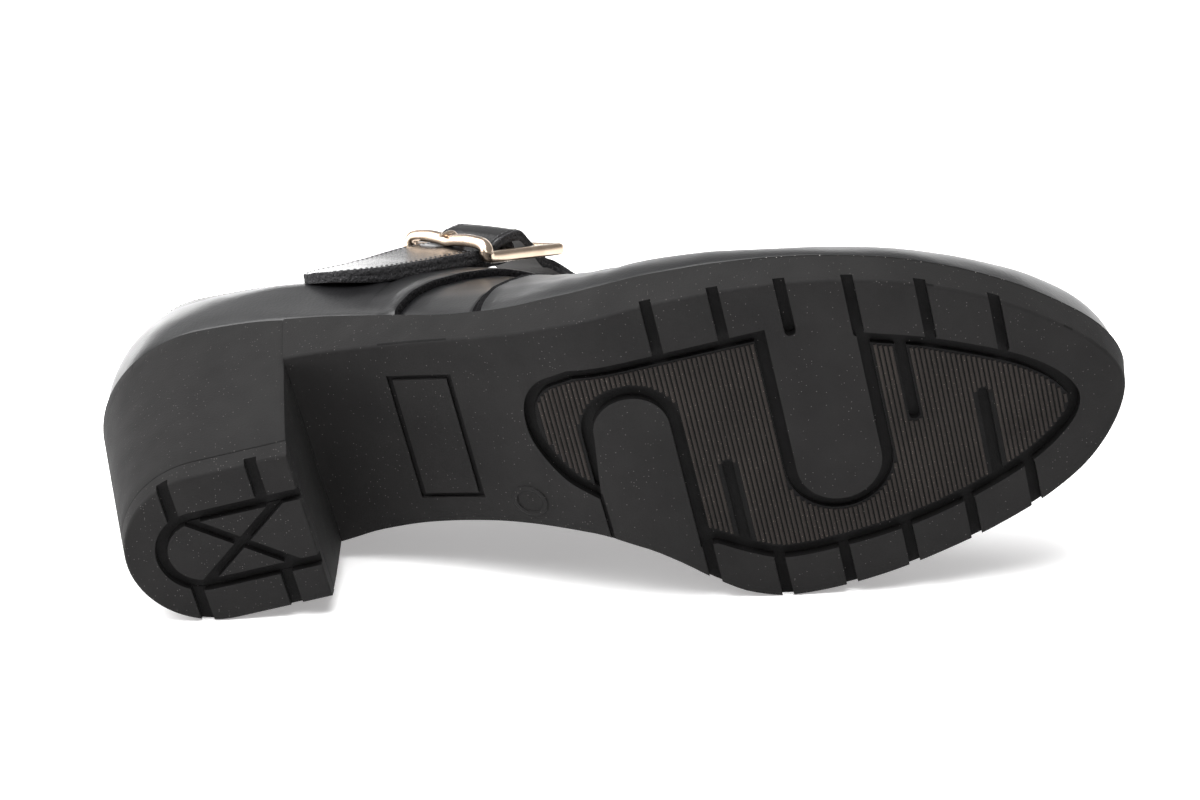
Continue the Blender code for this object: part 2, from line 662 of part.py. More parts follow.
def resting_pose(made):
    """Rotation and place that lay the shoe on the face of its hull below its middle, on the inner side."""
    density = {"upper": 0.9, "strap": 0.9, "insole": 0.6, "buckle_frame": 7.0, "buckle_prong": 7.0}
    cloud = bmesh.new()
    weight = 0.0
    middle = Vector((0, 0, 0))
    for piece in made:
        bm = bmesh.new()
        bm.from_mesh(piece.data)
        mass = bm.calc_volume() * density.get(piece.name, 1.15)
        spot = sum((v.co for v in bm.verts), Vector()) / len(bm.verts)
        middle += spot * mass
        weight += mass
        for vert in bm.verts:
            cloud.verts.new(vert.co)
        bm.free()
    middle /= weight
    hull = bmesh.ops.convex_hull(cloud, input=cloud.verts)
    down = None
    for face in [item for item in hull["geom"] if isinstance(item, bmesh.types.BMFace)]:
        normal = face.normal
        if normal.y < 0.8:
            continue
        spot = middle + normal * (face.verts[0].co - middle).dot(normal)
        if bmesh.geometry.intersect_face_point(face, spot):
            down = normal.copy()
    along = (Vector((1, 0, 0)) - down * down.x).normalized()
    up = -down
    turn = Matrix((along, up.cross(along), up))
    corners = np.array([turn @ v.co for v in cloud.verts])
    cloud.free()
    low = corners.min(axis=0)
    high = corners.max(axis=0)
    shift = Vector((-(low[0] + high[0]) / 2, -(low[1] + high[1]) / 2, -low[2]))
    return Matrix.Translation(shift) @ turn.to_4x4()


def build():
    for old in list(bpy.data.objects):
        bpy.data.objects.remove(old)
    shoe = bpy.data.collections.new("buckle_shoe")
    tools = bpy.data.collections.new("cutters")
    for collection in (shoe, tools):
        bpy.context.scene.collection.children.link(collection)
    rubber = material("sole_rubber", (0.032, 0.032, 0.034), 0.62)
    leather = material("black_leather", (0.012, 0.012, 0.013), 0.32)
    board = material("insole_board", (0.30, 0.22, 0.15), 0.7)
    metal = material("pale_metal", (0.72, 0.66, 0.56), 0.3, 1.0)
    path = StrapPath()
    pieces = (("outsole", outsole_body(), rubber), ("heel_block", heel_block_body(), rubber),
              ("heel_top_piece", heel_top_piece_body(), rubber), ("insole", insole_body(), board),
              ("upper", upper_body(), leather), ("strap", strap_body(path), leather),
              ("buckle_frame", buckle_frame_body(path), metal), ("buckle_prong", buckle_prong_body(path), metal))
    made = [add_object(name, bm, shoe, finish) for name, bm, finish in pieces]
    axes = bpy.data.objects.new("shoe_axes", None)
    shoe.objects.link(axes)
    axes.matrix_world = resting_pose(made)
    for piece in made:
        piece.data.shade_smooth()
        piece.data.set_sharp_from_angle(angle=math.radians(35))
        piece.parent = axes


build()
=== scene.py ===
"""Looks of a woman's right buckle shoe that lies on its inner side.

Forms are worked out in the shoe's own axes, in millimetres: X runs from the heel to the toe, Y to the
inner (medial) side, Z up from the plane that the heel and the forefoot tread stand on. Each finished
piece is then laid on the floor by SHOE_TO_FLOOR.
"""
import json
import math

import bmesh
import bpy
import numpy as np
from mathutils import Matrix, Vector
from mathutils.bvhtree import BVHTree

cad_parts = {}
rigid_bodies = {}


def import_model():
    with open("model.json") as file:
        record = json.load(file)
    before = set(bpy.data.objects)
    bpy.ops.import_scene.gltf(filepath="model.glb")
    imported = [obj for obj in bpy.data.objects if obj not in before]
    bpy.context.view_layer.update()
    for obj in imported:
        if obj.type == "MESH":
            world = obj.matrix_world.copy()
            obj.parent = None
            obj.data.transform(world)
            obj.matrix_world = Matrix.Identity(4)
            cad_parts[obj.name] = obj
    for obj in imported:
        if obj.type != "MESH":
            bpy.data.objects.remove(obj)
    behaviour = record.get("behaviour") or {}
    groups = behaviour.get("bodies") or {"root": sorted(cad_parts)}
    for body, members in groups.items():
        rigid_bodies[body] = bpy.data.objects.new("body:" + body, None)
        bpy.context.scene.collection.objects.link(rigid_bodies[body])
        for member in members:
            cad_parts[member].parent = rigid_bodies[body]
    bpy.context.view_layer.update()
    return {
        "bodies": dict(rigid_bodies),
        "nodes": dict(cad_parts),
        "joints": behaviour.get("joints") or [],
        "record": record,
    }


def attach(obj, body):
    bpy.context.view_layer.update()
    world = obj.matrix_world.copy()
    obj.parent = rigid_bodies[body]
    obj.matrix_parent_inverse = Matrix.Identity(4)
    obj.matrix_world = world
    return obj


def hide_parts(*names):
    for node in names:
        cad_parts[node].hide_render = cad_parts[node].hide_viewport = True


MM = 0.001
LATERAL = -1
MEDIAL = 1
GAP = 0.3

# How the shoe lies on the floor, and the camera in the shoe's own axes
SHOE_TO_FLOOR = Matrix(((0.978598, 0.203267, -0.032072, -0.117808), (0.0, 0.155853, 0.98778, -0.059912),
                        (0.205781, -0.96664, 0.152517, 0.015669), (0.0, 0.0, 0.0, 1.0)))
CAMERA_PLACE = (170.6, -362.8, -627.9)
CAMERA_RIGHT = (0.9727, 0.2263, -0.0518)
CAMERA_AHEAD = (-0.066, 0.4834, 0.8729)
CAMERA_LENS = 93.0
CAMERA_SENSOR = 36.0

# Sole: length, toe and heel rounding, edge form
BACK_X = -5.6
TOE_X = 245.8
TOE_ROUND_FROM = 160.0
TOE_ROUND_POWERS = (1.8, 0.57)
HEEL_ROUND_LENGTH = 33.0
BREAST_X = 49.0
FLARE = 1.5
EDGE_ROUND = 0.8
FLAT_BAND = 4.0
FLAT_TOP = 10.0
GLUE_FROM = 165.0
GLUE_HEIGHT = 9.3
GLUE_STEEP = 0.95
BEND_STEP = 3.0
BREAST_GAP = 0.05
SOLE_POINTS = 241

# Inset and height of each ring of the sole's edge, while the sole is flat
SOLE_RINGS = ((FLARE + EDGE_ROUND, 0.0), (FLARE + 0.3, 0.25), (FLARE, EDGE_ROUND), (0.1, 9.2), (0.0, 9.6),
              (0.25, FLAT_TOP))

# Bevel of carved edges: its width, the least angle of an edge, and the height up to which edges have it
CARVED_BEVEL = (0.22, 50.0)
PAD_BEVEL = (0.18, 50.0)
HEEL_BEVEL = (0.35, 45.0)
BEVEL_BELOW = 3.0

# Heights between which a carved face belongs to a groove and takes the darker finish: painted shade in the
# grooves
DEEP_IN_SOLE = (0.56, 2.6)
DEEP_IN_HEEL = (0.45, 2.6)

# Tread: recess, fingers, notches, ribs, smooth channels and the plain frame at the waist
RECESS_DEPTH = 2.25
NOTCH_DEPTH = 2.2
MOAT_WIDTH = 2.8
PAD_DEPTH = 0.8
NOTCH_WIDTH = 2.7
NOTCH_REACH = 70.0
LATERAL_FINGER = {"x": 174.0, "radius": 10.2, "end_y": 15.4}
MEDIAL_FINGER = {"x": 128.4, "radius": 9.0, "end_y": -4.7}
RIB_PITCH = 1.15
RIB_RADIUS = 0.4
RIB_MARGIN = 0.5
RIB_STEP = 0.2
LEAST_RIB_STEPS = 6
CHANNELS = ((193.7, -22.0, 8.0), (210.3, 40.0, 7.6), (148.2, 42.0, 10.2))
CHANNEL_HALF = 1.35
FRAME_CORNERS = ((73.8, -20.2), (88.5, -21.1), (88.3, 12.5), (73.6, 13.5))
FRAME_GROOVE = 1.3
FRAME_DEPTH = 0.9
BORDER_LINE = ((117.3, 11.0), (117.9, 40.0))
BORDER_WIDTH = 1.0
RING_PLACE = (99.9, 13.2)
RING_RADIUS = 3.6
RING_SECTION = (0.6, 0.55)
RING_SPANS = (40, 8)

# Heel: bottom outline, wear piece and its grooves
HEEL_BOTTOM_BACK_X = 4.3
HEEL_BOTTOM_HALF = 20.0
HEEL_BOTTOM_CENTRE = 0.8
HEEL_BOTTOM_ROUND = 21.0
HEEL_SWELL_POWER = 0.75
TOP_PIECE_HEIGHT = 4.6
HEEL_GROOVE_WIDTH = 3.0
HEEL_GROOVE_DEPTH = 2.0
HEEL_GROOVE_Y = 9.4
HEEL_NOTCH_X = (18.5, 40.2)
HEEL_ARC_X = 22.4
HEEL_CROSS = (((21.0, -8.2), (44.0, 9.8)), ((21.0, 9.8), (44.0, -8.2)))
HEEL_CROSS_WIDTH = 2.5
HEEL_CROSS_DEPTHS = (1.65, 1.75)
HEEL_SIZE_X = 40.0
HEEL_HEIGHT_X = 25.0
HEEL_BACK_POINTS = 97
HEEL_FRONT_POINTS = 11
HEEL_LEVELS = 15
HEEL_SPLIT = 4
TOP_PIECE_RINGS = ((0.0, 0.6), (0.15, 0.28), (0.6, 0.0), (TOP_PIECE_HEIGHT, 0.0))

# Upper: wall, panels and collar
WALL = 1.4
QUARTER_RAISE = 1.3
VAMP_RAISE = 1.0
EDGE_RAISE = 2.0
FEATHER_TUCK = 0.8
UPPER_INSET = 3.7
QUARTER_EDGE = (78.0, 94.0)
VAMP_EDGE = (98.0, 101.0)
EDGE_SWEEP = 1.5
THROAT_X = 70.0
COLLAR_BACK_X = 5.0
COLLAR_FRONT_X = 88.0
COLLAR_HALF = 17.0
COLLAR_REAR_POWERS = (2.4, 0.5)
COLLAR_FRONT_POWERS = (2.0, 0.75)
UPPER_ROWS = 53

# Columns at the two cut edges, in millimetres before or behind the edge, and how far each stands proud
QUARTER_STEP = ((-0.6, EDGE_RAISE), (-0.3, 1.85), (0.0, 1.55), (0.1, 0.75), (0.12, 0.0))
VAMP_STEP = ((-1.5, 0.0), (-1.2, -0.35), (-0.12, -0.4), (-0.05, 0.6), (0.05, 1.05), (0.5, 1.4), (1.3, 1.1))
CUT_STEP = 0.2
# Faces sunk below this depth, the crease just before the vamp's edge, take the dark cut-edge finish: painted
# shade in the crease
PAINTED_CREASE_DEPTH = -0.3

# Number of columns in each panel, and how far the even ones stop from the cut edges
COLLAR_COLUMNS = 60
COLLAR_CROWDING = 1.25
QUARTER_COLUMNS = 24
PANEL_COLUMNS = 26
VAMP_COLUMNS = 90
QUARTER_STOP = 1.2
PANEL_STOP = 1.6
VAMP_STOP = 1.4

# Flex creases of the vamp: place at the sole side, lean and depth
CREASES = ((112, 14, 0.22), (118, 20, 0.3), (125, 9, 0.2), (133, 16, 0.26))

# Insole: inset and height of each ring
INSOLE_RINGS = ((4.3, GAP), (4.3, GAP + 1.7), (4.6, GAP + 2.2), (5.3, GAP + 2.4))

# Strap
STRAP_WIDTH = 21.0
STRAP_THICKNESS = 2.8
STRAP_CLEAR = 0.5
STRAP_SPANS = 180
STRAP_TAIL = -0.28
STRAP_CROWDING = 1.15
STRAP_STATIONS = 78

# How the strap finds the upper below it: places along and up the upper, rays across the strap and their
# length, and passes that spread and smooth the strap's lift
SKIN_GRID = (81, 21)
SKIN_RAYS = 9
SKIN_RAY = 30.0
SPREAD_PASSES = 2
SMOOTH_PASSES = 40

# Cut edge of the strap with its two layers: how far out, and the share of the thickness
STRAP_LAYERS = ((0.0, 0.1), (0.1, 0.35), (-0.05, 0.46), (-0.05, 0.52), (0.12, 0.65), (0.02, 0.9))

# Buckle, its pin and its leather tab
BAR_RADIUS = 1.1
BAR_WIDE = 1.7
BAR_SLIM = 1.5
BAR_DEPTH = 1.6
FRAME_TWIST = 2.0
TAB_WIDTH = 16.0
TAB_THICKNESS = 1.8
BUCKLE_HALF_WIDTH = 14.0
BUCKLE_LENGTH = 27.9
END_BAR_AT = 0.572
CENTRE_BAR = 0.85 * BAR_RADIUS
PRONG_RADIUS = 0.75

# End bar of the buckle: share of the half width and of the height, from its side to its middle
HUMPS = ((1.0, 0.42), (0.95, 0.8), (0.82, 1.02), (0.5, 1.1), (0.2, 1.04), (0.0, 0.96))

# Rest of the buckle's frame: share of its length, share of its half width
FRAME_LOOP = ((0.06, 1.0), (0.35, 1.0), (0.65, 1.0), (0.94, 1.0), (1.0, 0.93), (1.0, 0.5), (1.0, 0.0),
              (1.0, -0.5), (1.0, -0.93), (0.94, -1.0), (0.65, -1.0), (0.35, -1.0), (0.06, -1.0))

# Brightness of the room by the height of the direction, from the horizon up to the ceiling
ROOM_LIGHT = ((0.0, 1.0), (0.03, 0.92), (0.14, 0.3), (0.7, 0.36), (1.0, 0.5))

# Lights: name, place, aim, size in metres and power in watts
LIGHTS = (
    ("overhead", (-0.3, -0.1, 1.2), (0.0, -0.05, 0.03), (1.7, 1.5), 40.0),
    ("front_fill", (-0.1, -0.65, 1.2), (0.0, -0.1, 0.0), (1.2, 0.6), 9.0),
    ("toe_panel", (0.66, 1.4, 0.28), (0.1, 0.0, 0.1), (1.1, 0.56), 3.0),
    ("strap_panel", (-0.7, 1.4, 0.06), (-0.05, 0.0, 0.08), (1.0, 0.12), 2.6),
    ("back_soft", (-0.75, 1.3, 0.8), (-0.05, 0.0, 0.08), (0.8, 0.6), 1.4),
    ("left_fill", (-1.3, -0.1, 0.5), (0.0, 0.0, 0.04), (1.2, 1.2), 15.0))
FLOOR_HALF = 4.0

# Stitches
STITCH_PITCH = 1.7
STITCH_LENGTH = 1.15
THREAD_RADIUS = 0.14
STITCH_PROUD = 0.04
VAMP_STITCH_INSET = 1.9
VAMP_STITCH_HEIGHTS = (0.03, 0.97)
COLLAR_STITCH_FROM = 0.004
COLLAR_STITCH_HEIGHT = 0.945
COLLAR_STITCH_STOP = 1.5
STRAP_STITCH_INSET = 1.5
STRAP_STITCH_STOP = 0.015


class Table:
    """Rows of sizes with named columns, read by a smooth curve through the rows."""

    def __init__(self, columns, rows):
        self.key = columns[0]
        self.values = {name: np.array(column, float) for name, column in zip(columns, zip(*rows))}

    def at(self, name, x):
        xs = self.values[self.key]
        ys = self.values[name]
        gaps = np.diff(xs)
        slopes = np.diff(ys) / gaps
        product = slopes[:-1] * slopes[1:]
        total = slopes[:-1] + slopes[1:]
        inner = np.divide(2 * product, total, out=np.zeros_like(product), where=product > 0)
        tangents = np.concatenate((slopes[:1], inner, slopes[-1:]))
        row = np.clip(np.searchsorted(xs, x) - 1, 0, len(gaps) - 1)
        t = np.clip((x - xs[row]) / gaps[row], 0.0, 1.0)
        start = ys[row] * (1 + 2 * t) * (1 - t) ** 2 + ys[row + 1] * t * t * (3 - 2 * t)
        bend = tangents[row] * t * (1 - t) ** 2 - tangents[row + 1] * t * t * (1 - t)
        return start + gaps[row] * bend


# Outline of the sole at its joint with the upper, before the toe and heel are rounded
PLAN = Table(("x", "centre", "half"), (
    (-5, 0.3, 28.7), (38, 0.1, 28.7), (50, -0.5, 28.5), (60, -2.1, 27.7), (74, -4.0, 27.1),
    (88, -5.4, 27.3), (100, -6.2, 28.1), (112, -6.1, 30.0), (124, -4.0, 33.3), (131, -1.4, 36.3),
    (138, 1.8, 39.8), (146, 4.9, 42.7), (156, 6.9, 44.2), (168, 7.8, 44.2), (192, 9.1, 44.2),
    (208, 11.0, 44.2), (224, 13.8, 44.2), (236, 15.8, 44.2), (245, 16.2, 44.2)))

# Heights of the sole's underside and of its joint with the upper
PROFILE = Table(("x", "under", "joint"), (
    (-5, 33.4, 57.5), (15, 33.4, 57.0), (30, 33.4, 55.8), (40, 33.4, 54.2), (49, 33.2, 51.2),
    (58, 30.9, 47.0), (64, 28.6, 43.5), (76, 23.2, 36.0), (89, 16.4, 27.0), (98, 11.2, 21.8),
    (107, 6.6, 17.8), (115, 3.1, 15.2), (123, 0.6, 13.8), (129, 0.0, 13.3), (140, 0.0, 12.8),
    (156, 0.0, 12.0), (178, 0.0, 10.7), (188, 0.2, 10.2), (200, 1.0, 10.6), (213, 2.5, 12.0),
    (225, 4.4, 14.2), (236, 6.8, 16.8), (245, 9.0, 19.0)))

# Edge of the recess at the waist, and round the front of the tread
RECESS_REAR = ((117.2, 12.8), (109.7, 6.3), (104.6, -4.3), (104.9, -14.0), (109.2, -20.2), (117.0, -23.2))
RECESS_CORNER = (163.9, -23.4)
RECESS_FRONT = ((184.2, -17.6), (201.0, -11.0), (217.5, -2.0), (226.6, 5.1), (231.8, 12.0), (232.6, 17.5),
                (228.8, 23.0), (218.5, 29.2), (202.2, 34.3), (186.6, 37.4), (170.5, 38.8), (157.0, 38.4),
                (149.0, 35.0), (141.5, 30.2))

# Edge notches: where each one lies along the sole, and how far in it reaches
NOTCHES = Table(("row", "lateral_x", "lateral_y", "medial_x", "medial_y"), (
    (0, 138.7, -22.0, 139.0, 29.0), (1, 154.3, -22.0, 155.0, 37.0), (2, 169.6, -20.3, 170.7, 38.0),
    (3, 184.9, -16.0, 186.4, 36.5), (4, 201.0, -10.0, 202.3, 33.5), (5, 217.1, -1.5, 218.0, 28.5)))

# Ribs of the last: where each one leaves the sole, where it ends, and its directions at both ends
RIBS = Table(("foot_x", "top_x", "out_lateral", "out_medial", "up", "forward", "inward", "rise"), (
    (-5.6, 5.0, 8, 8, 48, 0, 10, 46), (8, 14.5, 8, 24, 46, 0, 14, 42), (25, 32.0, 7, 34, 42, 2, 18, 36),
    (45, 53.0, 5, 34, 39, 6, 20, 32), (60, 71.0, 4, 24, 40, 14, 24, 28), (70, 88.0, 3, 12, 46, 22, 22, 0),
    (78, 99.0, 3, 13, 47, 24, 24, 0), (98, 120.0, 3, 14, 51, 20, 29, 0), (120, 138.0, 5, 10, 45, 12, 39, 0),
    (150, 161.0, 8, 8, 38, 6, 50, 0), (185, 189.0, 7, 7, 31, 0, 50, 0), (215, 209.0, 9, 7, 43, -4, 38, 0),
    (235, 221.0, 10, 7, 52, -4, 28, 0), (245.8, 227.0, 9, 9, 46, 0, 22, 0)))

# Collar edge behind the throat, and the ridge of the instep and vamp in front of it
COLLAR = Table(("x", "height"), (
    (5, 107.0), (15, 102.0), (30, 93.5), (45, 88.5), (58, 85.0), (70, 85.5), (80, 92.5), (88, 104.0)))
RIDGE = Table(("x", "y", "height"), (
    (5, 0.3, 104.0), (80, 0.0, 104.0), (88, 0.0, 104.0), (97, 0.0, 98.5), (108, 0.8, 91.0), (121, 1.8, 82.5),
    (140, 5.0, 72.5), (160, 8.5, 63.5), (180, 10.5, 55.5), (200, 12.0, 48.5), (215, 13.5, 43.5),
    (227, 14.5, 39.5)))

# Middle line of the strap from its sewn end on the inner side to its tip, and its direction across, backwards
STRAP = Table(("along", "x", "y", "z", "back_x", "back_y", "back_z"), (
    (STRAP_TAIL, 118.5, 24.8, 20.0, -0.97, -0.24, 0.02), (-0.2, 118.5, 23.3, 34.0, -0.97, -0.22, 0.03),
    (-0.13, 118.4, 22.2, 46.5, -0.98, -0.1, 0.05), (-0.065, 118.2, 23.6, 58.3, -0.97, 0.12, 0.08),
    (0.0, 118.0, 24.5, 70.0, -0.95, 0.29, 0.09), (0.072, 117.7, 25.0, 83.0, -0.95, 0.30, 0.12),
    (0.14, 116.3, 23.5, 95.0, -0.92, 0.32, 0.25), (0.206, 113.3, 20.0, 105.5, -0.86, 0.28, 0.42),
    (0.265, 109.2, 14.0, 112.5, -0.80, 0.20, 0.56), (0.345, 103.4, 5.0, 114.6, -0.746, 0.043, 0.664),
    (0.40, 99.2, -1.2, 111.3, -0.746, 0.043, 0.664), (0.456, 95.0, -4.9, 106.9, -0.746, 0.043, 0.664),
    (0.572, 86.8, -11.7, 98.0, -0.746, 0.043, 0.664), (0.785, 72.0, -19.6, 82.0, -0.764, 0.11, 0.625),
    (1.0, 57.2, -27.5, 66.0, -0.782, 0.178, 0.586)))
STRAP_BUMP = Table(("along", "lift"), (
    (STRAP_TAIL, 0.0), (0.0, 0.0), (0.36, 0.0), (0.40, 2.0), (0.445, 5.6), (0.49, 4.2), (0.53, 1.2),
    (0.56, 0.0), (1.0, 0.0)))

# Underside of the strap, and how far its sole side is turned down onto the upper
STRAP_EDGE = Table(("along", "low", "droop"), (
    (STRAP_TAIL, 0.0, 0.0), (0.0, 0.0, 0.0), (0.54, 0.0, 0.0), (0.6, -1.0, 0.1), (0.7, -0.9, 0.15),
    (0.8, -0.9, 0.2), (0.88, -1.0, 0.3), (0.94, -0.7, 0.2), (1.0, 0.3, 0.0)))


def mix(a, b, t):
    return a + (b - a) * t


def unit(vectors):
    return vectors / np.linalg.norm(vectors, axis=-1, keepdims=True)


def loop_x(along):
    """Distance from the heel for a place on the sole's loop: 0 at the back, 1 at the toe."""
    return BACK_X + (TOE_X - BACK_X) * (0.5 - 0.5 * np.cos(np.pi * along))


def loop_along(x):
    return np.arccos(np.clip(1 - 2 * (x - BACK_X) / (TOE_X - BACK_X), -1, 1)) / np.pi


def plan_half(x):
    """Half width of the sole, with the toe and the heel rounded."""
    toe = np.clip((x - TOE_ROUND_FROM) / (TOE_X - TOE_ROUND_FROM), 0.0, 1.0)
    heel = np.clip(1 - (x - BACK_X) / HEEL_ROUND_LENGTH, 0.0, 1.0)
    power, root = TOE_ROUND_POWERS
    return PLAN.at("half", x) * (1 - toe ** power) ** root * np.sqrt(1 - heel * heel)


def plan_point(turn):
    """Points on the sole's loop: turn 0 at the back, 1 at the toe, 2 at the back again."""
    turn = np.mod(turn, 2.0)
    side = np.where(turn <= 1, LATERAL, MEDIAL)
    x = loop_x(np.where(turn <= 1, turn, 2 - turn))
    return np.stack((x, PLAN.at("centre", x) + side * plan_half(x)), axis=-1)


def plan_normal(turn):
    ahead = plan_point(turn + 0.002) - plan_point(turn - 0.002)
    return unit(np.stack((ahead[..., 1], -ahead[..., 0]), axis=-1))


def inset_point(turn, inset):
    return plan_point(turn) - inset * plan_normal(turn)


def smooth_path(points, spans, closed=False):
    """Points on a rounded curve through the given ones."""
    points = [np.array(p, float) for p in points]
    if closed:
        padded = [points[-1]] + points + points[:2]
    else:
        padded = [2 * points[0] - points[1]] + points + [2 * points[-1] - points[-2]]
    path = []
    for i in range(1, len(padded) - 2):
        a, b, c, d = padded[i - 1:i + 3]
        for t in np.arange(spans) / spans:
            path.append(0.5 * (2 * b + (c - a) * t + (2 * a - 5 * b + 4 * c - d) * t ** 2
                               + (3 * b - a - 3 * c + d) * t ** 3))
    if not closed:
        path.append(points[-1])
    return path


def arc(x, y, radius, start_deg, end_deg, steps):
    angles = np.radians(np.linspace(start_deg, end_deg, steps + 1))
    return [np.array((x + radius * math.cos(a), y + radius * math.sin(a))) for a in angles]


def loft(rings, closed=False, kinds=None, cap_kind=0):
    """Body through rings of points: a hoop if closed, and otherwise with a flat cap at each end.

    kinds holds the number of the finish for each place round a ring.
    """
    bm = bmesh.new()
    loops = [[bm.verts.new(p) for p in ring] for ring in rings]
    count = len(loops[0])
    for low, high in zip(loops, loops[1:] + loops[:1] if closed else loops[1:]):
        for i in range(count):
            j = (i + 1) % count
            made = bm.faces.new((low[i], low[j], high[j], high[i]))
            made.material_index = kinds[i] if kinds else 0
    if not closed:
        for cap in (bm.faces.new(reversed(loops[0])), bm.faces.new(loops[-1])):
            cap.material_index = cap_kind
    bmesh.ops.recalc_face_normals(bm, faces=bm.faces)
    return bm


def prism(outline, low, high):
    return loft([[(p[0], p[1], z) for p in outline] for z in (low, high)])


def strip(points, width):
    """Outline of a groove of one width along a line of points."""
    points = [np.array(p, float) for p in points]
    left = []
    right = []
    for i, point in enumerate(points):
        ahead = points[min(i + 1, len(points) - 1)] - points[max(i - 1, 0)]
        side = np.array((-ahead[1], ahead[0])) / np.linalg.norm(ahead) * width / 2
        left.append(point + side)
        right.append(point - side)
    return left + right[::-1]


def mesh_of(name, bm):
    """Mesh from a bmesh, which is freed."""
    mesh = bpy.data.meshes.new(name)
    bm.to_mesh(mesh)
    bm.free()
    return mesh


def new_object(name, data):
    made = bpy.data.objects.new(name, data)
    bpy.context.scene.collection.objects.link(made)
    return made


def work_in(made):
    """Put an object's modifiers into its mesh."""
    graph = bpy.context.evaluated_depsgraph_get()
    mesh = bpy.data.meshes.new_from_object(made.evaluated_get(graph))
    made.modifiers.clear()
    old = made.data
    made.data = mesh
    bpy.data.meshes.remove(old)
    mesh.name = made.name


def carve(name, body, cutters):
    """Cut a list of outlines, each with its depth, out of the flat underside of a body."""
    bmesh.ops.triangulate(body, faces=body.faces)
    blank = new_object(name, mesh_of(name, body))
    helpers = [blank]
    for outline, depth in cutters:
        helpers.append(new_object("cutter", mesh_of("cutter", prism(outline, -5.0, depth))))
        cut = blank.modifiers.new("cut", "BOOLEAN")
        cut.operation = "DIFFERENCE"
        cut.object = helpers[-1]
    work_in(blank)
    bm = bmesh.new()
    bm.from_mesh(blank.data)
    for helper in helpers:
        bpy.data.meshes.remove(helper.data)
    bmesh.ops.remove_doubles(bm, verts=bm.verts, dist=0.002)
    bmesh.ops.dissolve_limit(bm, angle_limit=math.radians(0.4), verts=bm.verts, edges=bm.edges)
    return bm


def soften(bm, width, least_deg, highest=math.inf):
    """Round off the sharp edges of a body below a height."""
    least = math.radians(least_deg)
    edges = [e for e in bm.edges if len(e.link_faces) == 2 and e.calc_face_angle(0.0) > least
             and all(v.co.z <= highest for v in e.verts)]
    bmesh.ops.bevel(bm, geom=edges, offset=width, offset_type="OFFSET", segments=2, profile=0.5,
                    affect="EDGES", clamp_overlap=True)


def mark_deep_faces(bm, low, high):
    """Give the floors and walls of the grooves in a flat form their own darker finish, which paints shade in
    the grooves.
    """
    for face in bm.faces:
        middle = face.calc_center_median()
        if low < middle.z < high and max(vert.co.z for vert in face.verts) < high:
            face.material_index = 1


def split_along(bm, stations):
    """Add an edge loop at each station, so that the flat form can be bent along its length."""
    for x in stations:
        bmesh.ops.bisect_plane(bm, geom=bm.verts[:] + bm.edges[:] + bm.faces[:], dist=1e-5,
                               plane_co=(x, 0, 0), plane_no=(1, 0, 0))


def recess_outline():
    """Edge of the tread's recess, round both fingers."""
    lateral = LATERAL_FINGER
    medial = MEDIAL_FINGER
    outline = smooth_path(RECESS_REAR, 8)
    outline.append(np.array(RECESS_CORNER))
    outline += arc(lateral["x"], lateral["end_y"], lateral["radius"], 180, 0, 28)
    outline += smooth_path(RECESS_FRONT, 6)
    outline.append(np.array((medial["x"] + medial["radius"], RECESS_FRONT[-1][1])))
    outline += arc(medial["x"], medial["end_y"], medial["radius"], 0, -180, 28)
    return outline


def groove_outline(x, open_y, blind_y, half):
    """Groove across the sole, open at one end and round at the other."""
    turn = 90 if open_y < blind_y else -90
    end = arc(x, blind_y, half, turn + 90, turn - 90, 12)
    return [np.array((end[-1][0], open_y)), np.array((end[0][0], open_y))] + end


def notch_outlines():
    half = NOTCH_WIDTH / 2
    outlines = []
    for row in NOTCHES.values["row"]:
        for side, name in ((LATERAL, "lateral"), (MEDIAL, "medial")):
            x, end = [float(NOTCHES.at(name + axis, row)) for axis in ("_x", "_y")]
            outlines.append(groove_outline(x, side * NOTCH_REACH, end + side * half, half))
    return outlines


def waist_outlines():
    """Plain frame at the waist and the fine line beside the inner finger."""
    corners = [np.array(p) for p in FRAME_CORNERS]
    outlines = []
    for a, b in zip(corners, corners[1:] + corners[:1]):
        ahead = (b - a) / np.linalg.norm(b - a) * FRAME_GROOVE * 0.5
        outlines.append(strip((a - ahead, b + ahead), FRAME_GROOVE))
    outlines.append(strip(BORDER_LINE, BORDER_WIDTH))
    return outlines


def bend_sole(bm):
    """Bend a flat form to the arch and the toe spring."""
    split_along(bm, np.arange(BREAST_X + BEND_STEP, TOE_X - 1, BEND_STEP))
    for vert in bm.verts:
        under = float(PROFILE.at("under", vert.co.x))
        joint = float(PROFILE.at("joint", vert.co.x))
        rest = max(vert.co.z - FLAT_BAND, 0.0) / (FLAT_TOP - FLAT_BAND)
        vert.co.z = under + min(vert.co.z, FLAT_BAND) + rest * (joint - under - FLAT_BAND)


def outsole_body():
    """Forefoot and waist: carved while flat, then bent."""
    front = BREAST_X + BREAST_GAP
    start = float(loop_along(front))
    turns = np.linspace(start, 2 - start, SOLE_POINTS)
    rings = []
    for inset, height in SOLE_RINGS:
        ring = inset_point(turns, inset)
        ring[0][0] = ring[-1][0] = front
        rings.append([(p[0], p[1], height) for p in ring])
    cutters = [(recess_outline(), RECESS_DEPTH)]
    cutters += [(outline, NOTCH_DEPTH) for outline in notch_outlines()]
    cutters += [(outline, FRAME_DEPTH) for outline in waist_outlines()]
    bm = carve("outsole", loft(rings), cutters)
    soften(bm, *CARVED_BEVEL, highest=BEVEL_BELOW)
    mark_deep_faces(bm, *DEEP_IN_SOLE)
    for face in bm.faces:
        middle = face.calc_center_median()
        if middle.z > GLUE_HEIGHT and middle.x > GLUE_FROM and abs(face.normal.z) < GLUE_STEEP:
            face.material_index = 2
    bend_sole(bm)
    return bm


def inset_path(points, inset):
    """Line moved sideways, to the left of its direction."""
    points = np.array(points, float)
    ahead = unit(np.gradient(points, axis=0))
    return points + inset * np.stack((-ahead[:, 1], ahead[:, 0]), axis=1)


